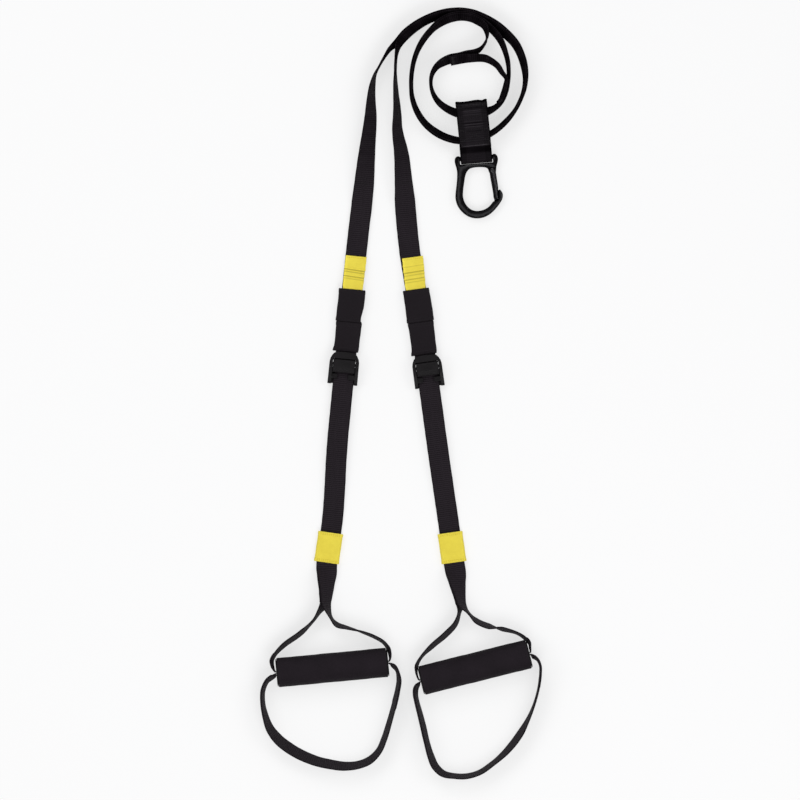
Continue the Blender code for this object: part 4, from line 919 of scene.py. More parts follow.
# ---------------------------------------------------------------- anchor strap
CARAB_O = Vector((*plan(*CARAB_AT), CARAB_T / 2))
ca = math.radians(CARAB_ANGLE)
CARAB_R = Vector((math.cos(ca), math.sin(ca), 0))
CARAB_D = Vector((math.sin(ca), -math.cos(ca), 0))


def carab(u, v, z):
    return CARAB_O + CARAB_R * u + CARAB_D * v + Vector((0, 0, z - CARAB_T / 2))


def anchor_frame(s):
    """Middle point and across direction of the anchor strap, s up from the bar."""
    k = s / 68.0
    lean = math.radians(4.2 + 2.4 * k)
    across = Vector((math.cos(lean), math.sin(lean), 0))
    x = -0.0733 * s - 0.0003 * s * s
    return Vector((CARAB_O.x + x, CARAB_O.y + s * 0.9965, 0)), across


def anchor_loop(step):
    """Frames of the anchor strap with each one's distance up from the bar."""
    wrap = CARAB_BAR_R + GAP + ANCHOR_T / 2
    lay = (ANCHOR_T + GAP) / 2
    middle = [(7.6, 16.0), (10.8, 21.6), (14.2, 26.2), (18.2, 28.2), (24.0, 28.6),
              (30.0, 28.6)]
    open_loop = [(36.0, 29.7), (43.0, 29.8), (50.0, 28.8), (57.4, 24.8), (63.0, 17.6),
                 (66.8, 10.0), (68.0, 5.0), (66.6, 2.0), (63.0, 1.2), (57.0, 1.2),
                 (50.5, 1.6), (45.4, 4.2), (41.9, 10.0), (39.4, 17.0), (36.6, 23.6)]
    mid = curve([(a, b) for a, b in middle], 2.5)
    top, low = [], []
    for i, m in enumerate(mid):
        a, b = mid[max(i - 1, 0)], mid[min(i + 1, len(mid) - 1)]
        d = (b - a) / np.linalg.norm(b - a)
        n = np.array((-d[1], d[0]))
        top.append(m + n * lay)
        low.append(m - n * lay)
    phi = math.degrees(math.atan2(16.0 - CARAB_T / 2, 7.6))
    start, end = phi + 100.0, phi + 260.0
    turn = [(wrap * math.cos(math.radians(start + (end - start) * k / 8)),
             CARAB_T / 2 + wrap * math.sin(math.radians(start + (end - start) * k / 8)))
            for k in range(9)]
    path = list(reversed(top)) + [np.array(t) for t in turn] + low
    path += [np.array(q) for q in reversed(open_loop)]
    ring = curve([(float(q[0]), float(q[1])) for q in path], step, closed=True)
    frames, up = [], []
    n = len(ring)
    for i, q in enumerate(ring):
        a, b = ring[i - 1], ring[(i + 1) % n]
        p, across = anchor_frame(float(q[0]))
        pa, _ = anchor_frame(float(a[0]))
        pb, _ = anchor_frame(float(b[0]))
        t = Vector((pb.x - pa.x, pb.y - pa.y, float(b[1] - a[1]))).normalized()
        w = (across - t * t.dot(across)).normalized()
        p.z = float(q[1])
        frames.append((p, w, t.cross(w)))
        up.append(float(q[0]))
    return frames, up


anchor_frames, anchor_up = anchor_loop(0.7)
anchor = Strip(anchor_frames, ANCHOR_W, ANCHOR_T, closed=True)


def anchor_relief(i, x, y):
    """Ribs and the sewn-on layer's end, on the upper layer's upward face."""
    p, w, n = anchor.frames[i]
    s = anchor_up[i]
    move = Vector((0, 0, 0))
    if n.z > 0.25 and y > 0 and s > 4:
        fade = smoothstep(19.0 - abs(x), 0.6, 3.0)
        h = 0.0
        for m, wd, ht in ((62.4, 2.6, 0.35), (56.2, 2.2, 0.50), (54.4, 2.0, 0.40),
                          (51.9, 2.2, 0.40), (44.7, 2.2, 0.35), (40.6, 2.0, 0.50),
                          (37.8, 2.0, 0.45)):
            h += ridge(s + 0.05 * x, m, wd, ht) * (0.35 + 0.65 * fade)
        # the outer layer ends at 15.6 with a turned edge; below it lies the inner layer
        h += 0.75 * smoothstep(s + 0.02 * x, 15.0, 15.7) - 0.15
        h += ridge(s, 16.8, 2.4, 0.30)
        move += n * h
    if s < 2.0:
        # the fold hangs a little slack round the bar
        move += CARAB_D * (smoothstep(2.0 - s, 0.0, 5.0) * (1.80 - 0.05 * x / 19.0))
    if s > 62:
        # the fold is a little uneven across the strap
        k = smoothstep(s, 60.0, 67.0)
        wave = 0.5 * math.sin(0.33 * x + 0.6) + 0.35 * math.sin(0.71 * x + 2.0)
        move += Vector((0, 1, 0)) * (k * wave)
    return move




def anchor_shade(i, x, y):
    """Painted highlights on ridges and turned edge; painted shade between ridges, under the edge,
    at top and sides.
    """
    n = anchor.frames[i][2]
    s = anchor_up[i]
    if n.z <= 0.2 or y < 0 or s < -1:
        return 0.0
    fade = smoothstep(14.5 - abs(x), 0.0, 6.0)
    out = 0.0
    for m, wd, k in ((62.4, 2.2, 0.35), (59.2, 2.2, -0.22), (56.2, 1.7, 1.00),
                     (54.5, 1.5, 0.80), (51.9, 1.8, 0.60), (44.7, 1.8, 0.45),
                     (42.2, 1.8, -0.45), (40.6, 1.6, 1.00), (39.2, 1.4, -0.40),
                     (37.8, 1.6, 0.85), (33.0, 5.0, -0.15)):
        out += ridge(s + 0.012 * x, m, wd, 1.0) * k * 1.25 * fade
    # painted highlight on the turned edge, painted shade in the pocket below it
    fold = 15.6 + 0.012 * x
    out += ridge(s, fold, 1.9, 1.0) * 1.9 * smoothstep(16.5 - abs(x), 0.0, 3.0)
    out -= 0.60 * smoothstep(fold - s, 0.4, 2.2) * smoothstep(s, 5.4, 9.4)
    # two faint painted highlight lines below the pocket
    for m in (11.2, 8.9):
        out += 0.22 * ridge(s, m, 1.6, 1.0) * smoothstep(-x, -2.0, 6.0)
    # painted shade at the top fold and along both sides
    out -= 0.75 * smoothstep(s, 63.6, 66.4)
    out -= 0.55 * smoothstep(abs(x), 16.8, 18.2)
    return max(-0.92, out)


anchor_piece = web_piece("anchor_webbing", anchor, WEB_WIDE, "root", "anchor_strap", seed=1.3,
                         ripple=1.1, relief=anchor_relief, shade=anchor_shade)


def anchor_spot(s, x):
    """Point and normal on the upper layer's upward face, s up from the bar."""
    best = min((i for i, f in enumerate(anchor.frames) if f[2].z > 0.2),
               key=lambda i: abs(anchor_up[i] - s))
    p, w, n = anchor.frames[best]
    base = p + w * x + n * (ANCHOR_T / 2)
    return base + anchor_relief(best, x, 1.0), n


bm = bmesh.new()
for s in (17.6, 21.0, 34.4, 47.4, 50.0, 61.0):
    stitch_line(bm, anchor_spot, (s, -17.0), (s, 17.0), 2.7, r=0.34)
for x in (-17.2, 17.2):
    stitch_line(bm, anchor_spot, (17.6, x), (34.4, x), 2.7, r=0.34)
stitch_line(bm, anchor_spot, (21.0, -16.4), (34.4, 16.4), 2.7, r=0.34)
stitch_line(bm, anchor_spot, (21.0, 16.4), (34.4, -16.4), 2.7, r=0.34)
finish("anchor_stitching", bm, THREAD, "root")


# ---------------------------------------------------------------- plates and turnings
def signed_area(loop):
    return 0.5 * sum(a[0] * b[1] - b[0] * a[1] for a, b in zip(loop, loop[1:] + loop[:1]))


def inset_loop(loop, d):
    """Moves a plan loop to its left by d (inwards when it runs anticlockwise)."""
    n = len(loop)
    out = []
    for i in range(n):
        a, b, c = Vector(loop[i - 1]), Vector(loop[i]), Vector(loop[(i + 1) % n])
        e, f = (b - a).normalized(), (c - b).normalized()
        m = Vector((-(e.y + f.y), e.x + f.x))
        m.normalize()
        out.append(tuple(b + m * (d / max(0.5, Vector((-e.y, e.x)).dot(m)))))
    return out


def plate_mesh(place, outer, levels):
    """Closed plate from a plan loop. levels are (z, inset) from bottom to top."""
    loop = outer if signed_area(outer) > 0 else outer[::-1]
    bm = bmesh.new()
    stack = [[bm.verts.new(place(x, y, z)) for x, y in inset_loop(loop, d)]
             for z, d in levels]
    for a, b in zip(stack, stack[1:]):
        for i in range(len(a)):
            j = (i + 1) % len(a)
            bm.faces.new((a[i], a[j], b[j], b[i]))
    for k, flip in ((0, True), (-1, False)):
        flat = [[Vector((x, y, 0)) for x, y in inset_loop(loop, levels[k][1])]]
        for tri in tessellate_polygon(flat):
            face = [stack[k][i] for i in tri]
            bm.faces.new(face[::-1] if flip else face)
    return bm


def smooth_loop(points, step):
    return [(float(p[0]), float(p[1])) for p in curve(points, step, closed=True)]


def box_mesh(place, lo, hi):
    bm = bmesh.new()
    c = [bm.verts.new(place(x, y, z)) for z in (lo[2], hi[2])
         for x, y in ((lo[0], lo[1]), (hi[0], lo[1]), (hi[0], hi[1]), (lo[0], hi[1]))]
    bm.faces.new(c[3::-1])
    bm.faces.new(c[4:])
    for i in range(4):
        j = (i + 1) % 4
        bm.faces.new((c[i], c[j], c[j + 4], c[i + 4]))
    return bm


def rod_mesh(a, b, r, sides=32):
    a, b = Vector(a), Vector(b)
    t = (b - a).normalized()
    x = t.orthogonal().normalized()
    y = t.cross(x)
    bm = bmesh.new()
    rings = [[bm.verts.new(p + (x * math.cos(k) + y * math.sin(k)) * r)
              for k in (2 * math.pi * i / sides for i in range(sides))] for p in (a, b)]
    for i in range(sides):
        j = (i + 1) % sides
        bm.faces.new((rings[0][i], rings[0][j], rings[1][j], rings[1][i]))
    bm.faces.new(rings[0][::-1])
    bm.faces.new(rings[1])
    return bm


def turned_mesh(a, axis, profile, sides):
    """Ring turned about an axis; profile is a closed list of (along, radius)."""
    axis = axis.normalized()
    x = Vector((0, 0, 1))
    if abs(axis.z) > 0.9:
        x = Vector((1, 0, 0))
    y = axis.cross(x)
    bm = bmesh.new()
    rings = []
    for i in range(sides):
        k = 2 * math.pi * (i + 0.5) / sides
        d = x * math.cos(k) + y * math.sin(k)
        rings.append([bm.verts.new(a + axis * s + d * r) for s, r in profile])
    n = len(profile)
    for i in range(sides):
        r0, r1 = rings[i], rings[(i + 1) % sides]
        for k in range(n):
            j = (k + 1) % n
            bm.faces.new((r0[k], r0[j], r1[j], r1[k]))
    return bm


def button_mesh(a, axis, profile, sides=32):
    """Solid turned about an axis; profile runs from one pole to the other."""
    axis = axis.normalized()
    x = axis.orthogonal().normalized()
    y = axis.cross(x)
    bm = bmesh.new()
    first, last = (bm.verts.new(a + axis * profile[k][0]) for k in (0, -1))
    rings = []
    for s, r in profile[1:-1]:
        rings.append([bm.verts.new(a + axis * s + (x * math.cos(k) + y * math.sin(k)) * r)
                      for k in (2 * math.pi * i / sides for i in range(sides))])
    for i in range(sides):
        j = (i + 1) % sides
        bm.faces.new((first, rings[0][j], rings[0][i]))
        bm.faces.new((last, rings[-1][i], rings[-1][j]))
        for r0, r1 in zip(rings, rings[1:]):
            bm.faces.new((r0[i], r0[j], r1[j], r1[i]))
    return bm


def raw(bm):
    """A bmesh in millimetres as an object in metres, before it becomes a piece."""
    bmesh.ops.recalc_face_normals(bm, faces=bm.faces)
    bmesh.ops.scale(bm, vec=(MM, MM, MM), verts=bm.verts)
    mesh = bpy.data.meshes.new("blank")
    bm.to_mesh(mesh)
    bm.free()
    ob = bpy.data.objects.new("blank", mesh)
    bpy.context.scene.collection.objects.link(ob)
    return ob


def from_node(name):
    """A closed copy of a CAD node's mesh."""
    bm = bmesh.new()
    bm.from_mesh(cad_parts[name].data)
    bmesh.ops.remove_doubles(bm, verts=bm.verts, dist=2e-6)
    mesh = bpy.data.meshes.new("blank")
    bm.to_mesh(mesh)
    bm.free()
    ob = bpy.data.objects.new("blank", mesh)
    bpy.context.scene.collection.objects.link(ob)
    return ob


def settle(ob):
    """Applies an object's modifiers."""
    graph = bpy.context.evaluated_depsgraph_get()
    graph.update()
    mesh = bpy.data.meshes.new_from_object(ob.evaluated_get(graph))
    ob.modifiers.clear()
    ob.data = mesh
    return ob


def cut(ob, other, operation="DIFFERENCE"):
    mod = ob.modifiers.new("cut", "BOOLEAN")
    mod.operation = operation
    mod.solver = "EXACT"
    mod.object = other
    settle(ob)
    bpy.data.objects.remove(other, do_unlink=True)
    return ob


def moulded(ob, voxel, rounds, ratio):
    """Rounds every edge of a closed solid a little, inner corners too."""
    mod = ob.modifiers.new("remesh", "REMESH")
    mod.mode = "VOXEL"
    mod.voxel_size = voxel * MM
    settle(ob)
    mod = ob.modifiers.new("smooth", "SMOOTH")
    mod.factor = 0.5
    mod.iterations = rounds
    settle(ob)
    if ratio < 1:
        mod = ob.modifiers.new("thin", "DECIMATE")
        mod.ratio = ratio
        settle(ob)
    return ob


def piece(ob, name, mat, body, nodes=(), angle=60):
    ob.name = name
    ob.data.name = name
    ob.data.materials.clear()
    ob.data.materials.append(mat)
    ob.data.shade_smooth()
    if angle:
        ob.data.set_sharp_from_angle(angle=math.radians(angle))
    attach(ob, body)
    if nodes:
        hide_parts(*nodes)
    return ob


# ---------------------------------------------------------------- carabiner
PIVOT = (18.4, 17.0)
body_line = (
    [(-19.8, -3.4), (-22.6, -3.7), (-25.0, -2.2), (-26.2, 1.2), (-26.0, 5.0),
     (-25.0, 9.5), (-24.3, 14.5), (-24.8, 22.0), (-26.2, 31.0), (-27.9, 40.0),
     (-28.5, 46.5), (-27.4, 53.5), (-24.2, 60.2), (-18.8, 66.4), (-11.8, 70.8),
     (-3.6, 72.5), (4.4, 71.6), (11.6, 68.4), (18.4, 62.9), (23.6, 57.2),
     (27.4, 51.8), (28.5, 48.0), (28.5, 44.8), (27.3, 42.0), (25.5, 39.6),
     (24.4, 39.8), (24.0, 42.4), (23.8, 45.4), (23.5, 48.8), (22.5, 52.0), (19.6, 53.2),
     (16.6, 53.4), (13.6, 56.6), (10.0, 59.8), (4.0, 62.6), (-3.4, 63.4), (-9.8, 61.6),
     (-14.8, 57.2), (-18.0, 51.2), (-19.2, 44.8), (-18.2, 36.0), (-16.4, 27.6),
     (-14.9, 21.2), (-12.6, 16.0), (-8.6, 12.4), (-3.4, 11.3), (3.4, 11.3),
     (8.6, 11.9), (11.8, 13.0)]
)
ear_line = [(13.2, 15.0), (14.0, 18.4), (16.2, 20.9), (18.9, 21.3), (21.6, 20.0),
            (22.6, 17.0), (23.4, 12.0), (25.0, 7.4), (25.9, 3.2), (25.2, -0.8),
            (22.8, -3.4), (19.8, -3.4)]
outline = curve([(a, b) for a, b in body_line + ear_line], 1.7)
outline = [(float(a), float(b)) for a, b in outline] + [(19.8, 6.6), (-19.8, 6.6)]


def fillet_levels(z0, z1, r, inset, steps=4):
    low = [(z0 + r * (1 - math.cos(a)), inset * (1 - math.sin(a)))
           for a in (math.pi / 2 * k / steps for k in range(steps + 1))]
    return low + [(z1 + z0 - z, d) for z, d in reversed(low)]


def away(line, q):
    """Distance of each plan point from a broken line."""
    best = np.full(len(q), 1e9)
    for a, b in zip(line[:-1], line[1:]):
        a, b = np.array(a), np.array(b)
        d = b - a
        k = np.clip(((q - a) @ d) / (d @ d), 0, 1)
        best = np.minimum(best, np.linalg.norm(q - (a + k[:, None] * d), axis=1))
    return best


def rim_layer(ob, outer, inner):
    """How far across its limb each point lies, from the outer to the inner side."""
    co = np.empty(len(ob.data.vertices) * 3)
    ob.data.vertices.foreach_get("co", co)
    co = co.reshape(-1, 3) / MM - np.array(CARAB_O)
    q = np.stack((co @ np.array(CARAB_R), co @ np.array(CARAB_D)), axis=1)
    far = np.minimum.reduce([away(line, q) for line in outer])
    near = np.minimum.reduce([away(line, q) for line in inner])
    layer = ob.data.attributes.new("rim", "FLOAT", "POINT")
    layer.data.foreach_set("value", far / (far + near + 1e-6))


body = raw(plate_mesh(carab, outline, fillet_levels(0.0, 10.0, 2.2, 1.7)))
cut(body, raw(rod_mesh(carab(-21.5, 0, 5), carab(21.5, 0, 5), CARAB_BAR_R, 32)), "UNION")
for z0, z1 in ((-1.0, 2.6), (5.4, 11.0)):
    cut(body, raw(plate_mesh(
        carab, smooth_loop([(PIVOT[0] + 5.3 * math.cos(k), PIVOT[1] + 5.3 * math.sin(k))
                            for k in (math.radians(30 * i) for i in range(12))], 1.5),
        [(z0, 0.0), (z1, 0.0)])))
cut(body, raw(rod_mesh(carab(*PIVOT, -2), carab(*PIVOT, 12), 1.6, 24)))
# the nose's key, which the closed gate's end fits over
cut(body, raw(box_mesh(carab, (22.3, 40.4, 3.9), (25.2, 51.6, 6.1))), "UNION")
cut(body, raw(box_mesh(carab, (17.8, 50.7, 3.9), (22.6, 54.2, 6.1))), "UNION")
moulded(body, 0.36, 6, 0.42)
rim_layer(body, [body_line[:24], ear_line[4:], [(19.8, 6.6), (-19.8, 6.6)]],
          [body_line[24:], ear_line[:4]])
piece(body, "carabiner_forging", FORGED, "carabiner", ["carabiner_body"])

gate_loop = [(14.5, 18.6), (15.0, 14.6), (18.2, 12.9), (21.5, 14.3), (22.3, 18.4),
             (22.9, 27.0), (23.6, 36.0), (23.4, 41.6), (23.0, 47.4), (21.9, 50.7),
             (19.4, 52.2), (17.5, 50.2), (16.9, 43.0), (16.0, 34.0), (15.1, 26.0)]
gate = raw(plate_mesh(carab, smooth_loop(gate_loop, 1.6), fillet_levels(0.6, 9.4, 1.8, 1.5)))
cut(gate, raw(box_mesh(carab, (11.5, 10.0, 2.3), (25.0, 23.4, 7.9))))
cut(gate, raw(rod_mesh(carab(*PIVOT, -2), carab(*PIVOT, 12), 1.6, 24)))
cut(gate, raw(box_mesh(carab, (21.8, 39.9, 3.5), (26.0, 50.2, 6.5))))
cut(gate, raw(box_mesh(carab, (15.0, 49.9, 3.5), (26.0, 54.5, 6.5))))
# grooves along both faces of the gate
for z in (9.9, 0.1):
    cut(gate, raw(rod_mesh(carab(18.9, 24.0, z), carab(20.6, 46.0, z), 1.35, 20)))
moulded(gate, 0.30, 5, 0.5)
rim_layer(gate, [gate_loop[3:9]], [[gate_loop[k] for k in (10, 11, 12, 13, 14, 0)]])
piece(gate, "carabiner_gate_forging", GATE, "gate", ["carabiner_gate"])

# riveted ends of the gate's pin
for tag, z, way in (("top", 9.1, 1), ("low", 0.9, -1)):
    head = raw(button_mesh(carab(*PIVOT, z), Vector((0, 0, way)),
                           [(-0.9, 0), (-0.9, 1.25), (0.0, 1.3), (0.08, 2.0), (0.35, 2.15),
                            (0.6, 1.9), (0.74, 1.2), (0.66, 0.6), (0.62, 0)], 36))
    piece(head, f"gate_rivet_{tag}", STEEL_DARK, "carabiner", angle=45)


# ---------------------------------------------------------------- legs
def rounded_rect(h, a, b, r, corner=5, long=12, short=3):
    """Points of a rounded rectangle, with each one's outward direction."""
    out = []
    corners = [((h - r, b - r), 0.0), ((-h + r, b - r), 90.0),
               ((-h + r, a + r), 180.0), ((h - r, a + r), 270.0)]
    for k, ((cx, cz), start) in enumerate(corners):
        for i in range(corner + 1):
            q = math.radians(start + 90.0 * i / corner)
            d = (math.cos(q), math.sin(q))
            out.append((cx + r * d[0], cz + r * d[1], *d))
        (nx, nz), nstart = corners[(k + 1) % 4]
        count = long if k in (0, 2) else short
        q = math.radians(start + 90.0)
        d = (math.cos(q), math.sin(q))
        x0, z0 = cx + r * d[0], cz + r * d[1]
        x1, z1 = nx + r * d[0], nz + r * d[1]
        for i in range(1, count):
            f = i / count
            out.append((x0 + (x1 - x0) * f, z0 + (z1 - z0) * f, *d))
    return out


def tube_piece(name, place, half, z, z_in, v0, v1, wall, mat, body, node, seed=0.0,
               edge=None, hem=4.6, thread=None, sag=0.35,
               tongue=0.0):
    """Flat fabric sleeve: rounded sides, turned hems with stitching, slight hollows.
    edge(m, way) moves its sides in or out along its length; its under layer runs on by
    tongue at the first end."""
    length = v1 - v0
    outer = rounded_rect(half, z[0], z[1], 2.6)
    inner = rounded_rect(half - wall, z_in[0], z_in[1], 0.9)
    arcs = [0.0]
    for p, q in zip(outer, outer[1:]):
        arcs.append(arcs[-1] + math.hypot(q[0] - p[0], q[1] - p[1]))
    cuts = [0.0, 0.18, 0.55, 1.2, hem - 0.9, hem - 0.35, hem, hem + 0.35, hem + 0.9]
    marks = cuts + [length - c for c in reversed(cuts)]
    count = max(2, round((length - 2 * cuts[-1]) / 1.5))
    marks += [cuts[-1] + (length - 2 * cuts[-1]) * i / count for i in range(1, count)]
    marks = sorted(marks)
    edge = edge or (lambda m, way: 0.0)

    def surface(v, x, zz, dx, dz):
        """Point on the sleeve's outside, from its plain section point."""
        e = min(v, length - v)
        m = v / length
        lift = 0.0
        if e < 0.55:
            lift -= 0.40 * (1 - e / 0.55) ** 2
        if e < hem:
            lift += 0.28 * smoothstep(e, 0.0, 0.7)
        lift += 0.28 * (1 - smoothstep(e, hem, hem + 0.7)) if e >= hem else 0.0
        lift -= ridge(e, hem, 0.9, 0.22)
        mid = smoothstep(half - abs(x), 1.0, half * 0.75)
        lift -= sag * mid * math.sin(math.pi * min(1.0, max(0.0, (e - hem) / 7.0)) / 2) \
            if e > hem else 0.0
        lift += 0.10 * math.sin(0.9 * v + 0.35 * x + seed) * mid
        lift += 0.07 * math.sin(0.37 * v - 0.6 * x + 2.3 * seed)
        up = 1.0 if dz > -0.3 else 0.25
        side = edge(m, 1 if x > 0 else -1) * smoothstep(abs(x), 0.2 * half, half)
        on = tongue * smoothstep(-dz, 0.15, 0.75) * (1 - smoothstep(v, 0.0, 1.0))
        return place(x + dx * lift + side, v0 + v - on, zz + dz * lift * up)

    bm = bmesh.new()
    layer = lay_layer(bm)
    outs, ins = [], []
    for v in marks:
        m = v / length
        ro, ri = [], []
        for k, (x, zz, dx, dz) in enumerate(outer):
            vert = bm.verts.new(surface(v, x, zz, dx, dz))
            vert[layer] = (v * MM, arcs[k] * MM, 1.0)
            ro.append(vert)
        for k, (x, zz, dx, dz) in enumerate(inner):
            side = 0.66 * edge(m, 1 if x > 0 else -1) * smoothstep(abs(x), 0.2 * half, half)
            e = min(v, length - v)
            lift = 0.25 * (1 - min(1.0, e / 0.5))
            on = tongue * smoothstep(-dz, 0.15, 0.75) * (1 - smoothstep(v, 0.0, 1.0))
            vert = bm.verts.new(place(x + side + dx * lift, v0 + v - on, zz + dz * lift))
            vert[layer] = (v * MM, arcs[k] * MM, -1.0)
            ri.append(vert)
        outs.append(ro)
        ins.append(ri)
    n = len(outer)
    for r0, r1 in zip(outs, outs[1:]):
        for k in range(n):
            j = (k + 1) % n
            bm.faces.new((r0[k], r0[j], r1[j], r1[k]))
    for r0, r1 in zip(ins, ins[1:]):
        for k in range(n):
            j = (k + 1) % n
            bm.faces.new((r0[j], r0[k], r1[k], r1[j]))
    for ro, ri, flip in ((outs[0], ins[0], False), (outs[-1], ins[-1], True)):
        for k in range(n):
            j = (k + 1) % n
            face = (ro[j], ro[k], ri[k], ri[j])
            bm.faces.new(face[::-1] if flip else face)
    ob = finish(name, bm, mat, body, (node,), angle=60)

    def spot(v, x):
        """Point and normal on the upper face."""
        zz = z[1]
        if abs(x) > half - 2.6:
            x = math.copysign(half - 2.6, x)
        return surface(v, x, zz, 0.0, 1.0), Vector((0, 0, 1))

    if thread:
        bm = bmesh.new()
        reach = half - 2.4
        for v in (hem, length - hem):
            stitch_line(bm, spot, (v, -reach), (v, reach), 2.5, r=0.27)
        for v in (1.9, length - 1.9):
            stitch_line(bm, spot, (v, -reach), (v, reach), 2.5, r=0.25)
        finish(name + "_stitching", bm, thread, body)
    return ob


for leg in (LEFT, RIGHT):
    side = leg.side
    a = leg.along
    sgn = -1 if side == "left" else 1

    def lower_edge(m, way, side=side):
        return -0.9 * smoothstep(m, 0.80, 1.0) + 0.25 * math.sin(5.0 * m + way)

    def slider_edge(m, way, side=side):
        if side == "left":
            if way > 0:
                return 0.5 * math.sin(math.pi * min(1.0, m * 1.6)) - 2.3 * smoothstep(m, 0.45, 1.0)
            return 0.2 * math.sin(6.0 * m)
        if way > 0:
            return -0.6 + 1.2 * math.sin(math.pi * min(1.0, m * 0.72))
        return -0.3 * smoothstep(m, 0.6, 1.0)

    tube_piece(f"{side}_lower_cover", leg.at, 15.2, (0.2, 10.3), (1.0, 9.45),
               a(322.15), -20.6, 1.4, SLEEVE, "root", f"{side}_lower_sleeve",
               seed=1.0 + sgn, edge=lower_edge, thread=THREAD,
               tongue=2.2)
    tube_piece(f"{side}_slider_cover", leg.at, 15.9, (1.9, 10.5), (2.8, 9.45),
               a(289.2), a(321.85), 1.1, SLEEVE, f"{side}_handle", f"{side}_slider_sleeve",
               seed=2.0 + sgn, edge=slider_edge, thread=THREAD)


# ---------------------------------------------------------------- yellow pull tabs
def tab_piece(leg, shift_top, shift_low, v_top, seed):
    v0, v1 = leg.along(v_top), leg.along(294.0)
    length = v1 - v0
    side = leg.side
    slant = 0.055 if side == "left" else -0.02
    ribs = ((0.335, 2.6, 0.60), (0.405, 1.8, 0.42), (0.515, 2.4, 0.52), (0.585, 1.6, 0.30)) \
        if side == "left" else ((0.22, 1.6, 0.22), (0.37, 2.4, 0.50), (0.455, 1.8, 0.34),
                                (0.555, 2.2, 0.42), (0.64, 1.6, 0.25))

    def where(v, u, q):
        """Point of the tab; u is -1 to 1 across, q is -1 (under) to 1 (upper face)."""
        m = v / length
        z = 5.9 + 2.45 * smoothstep(m, 0.15, 0.9)
        mid = shift_top + (shift_low - shift_top) * m
        half = 12.3 + 0.3 * (1 - smoothstep(m, 0.35, 0.42)) - 0.5 * smoothstep(m, 0.7, 0.9)
        bumps = 0.0
        rib = 0.0
        for c, wd, ht in ribs:
            r = ridge(v - slant * u * 13, c * length, wd, ht)
            rib += r
            bumps += r * 0.7
        half_here = half + bumps + 0.12 * math.sin(0.8 * v + seed + 2 * u)
        t = 0.85 * math.sqrt(max(0.0, 1 - (1 - min(1.0, v / 0.85)) ** 2)) \
            if v < 0.85 else 0.85
        t = max(t, 0.12)
        soft = 0.10 * math.sin(0.55 * v + 1.9 * u + seed) + 0.08 * math.sin(3.1 * u + seed)
        soft += 0.10 * math.cos(2.2 * u) * smoothstep(m, 0.0, 0.3)
        lift = (rib + max(0.0, soft)) * smoothstep(q, -0.2, 1.0) * \
            smoothstep(v, 0.0, 1.0) if q > 0 else 0.0
        if m > 0.86:
            lift *= 1 - smoothstep(m, 0.86, 0.91)
        return leg.at(mid + u * half_here, v0 + v, z + q * t + lift)

    across = [-1 + 2 * i / 22 for i in range(23)]
    ring = [(u * 0.982, 1.0) for u in across]
    ring += [(1.0, 0.78), (1.006, 0.5), (0.985, 0.12), (0.985, -0.12), (1.006, -0.5),
             (1.0, -0.78)]
    ring += [(u * 0.982, -1.0) for u in reversed(across)]
    ring += [(-1.0, -0.78), (-1.006, -0.5), (-0.985, -0.12), (-0.985, 0.12), (-1.006, 0.5),
             (-1.0, 0.78)]
    marks = [0.0, 0.12, 0.3, 0.55, 0.85, 1.2]
    count = round((length - 1.2) / 0.55)
    marks += [1.2 + (length - 1.2) * i / count for i in range(1, count + 1)]
    bm = bmesh.new()
    layer = lay_layer(bm)
    tone = bm.verts.layers.float.new("shade")

    def fold_shade(v, u):
        """Painted shade in the creases beside the ribs, painted highlight on their crests and one
        side.
        """
        out = 0.0
        for c, wd, ht in ribs:
            d = v - slant * u * 13 - c * length
            out += 0.10 * ridge(d, 0.0, wd, 1.0) - ht * 0.95 * ridge(d, wd * 0.62, 2.6, 1.0)
        out += 0.10 * smoothstep(-u, 0.72, 0.92)
        return max(-0.45, out)

    rings = []
    for v in marks:
        row = []
        for u, q in ring:
            vert = bm.verts.new(where(v, u, q))
            vert[layer] = (v * MM, u * 12.5 * MM, 1.0 if q > 0 else -1.0)
            vert[tone] = fold_shade(v, u) if q > 0 else 0.0
            row.append(vert)
        rings.append(row)
    n = len(ring)
    for r0, r1 in zip(rings, rings[1:]):
        for k in range(n):
            j = (k + 1) % n
            bm.faces.new((r0[k], r0[j], r1[j], r1[k]))
    bm.faces.new(rings[0][::-1])
    bm.faces.new(rings[-1])
    body = f"{side}_handle"
    ob = finish(f"{side}_tab_fabric", bm, YELLOW, body,
                (f"{side}_pull_tab",), angle=60)

    def spot(v, u):
        return where(v, u / 12.5, 1.0), Vector((0, 0, 1))

    bm = bmesh.new()
    for c in ((0.37, 0.55) if side == "left" else (0.41, 0.60)):
        v = c * length
        stitch_line(bm, spot, (v - slant * 11.4, -11.2), (v + slant * 11.4, 11.2), 2.3, r=0.24)
    stitch_line(bm, spot, (2.4, -11.2), (2.4, 11.2), 2.3, r=0.22)
    finish(f"{side}_tab_stitching", bm, YELLOW_THREAD, body)


tab_piece(LEFT, 1.1, 0.4, 256.0, 0.4)
tab_piece(RIGHT, 1.1, -0.6, 257.2, 2.1)


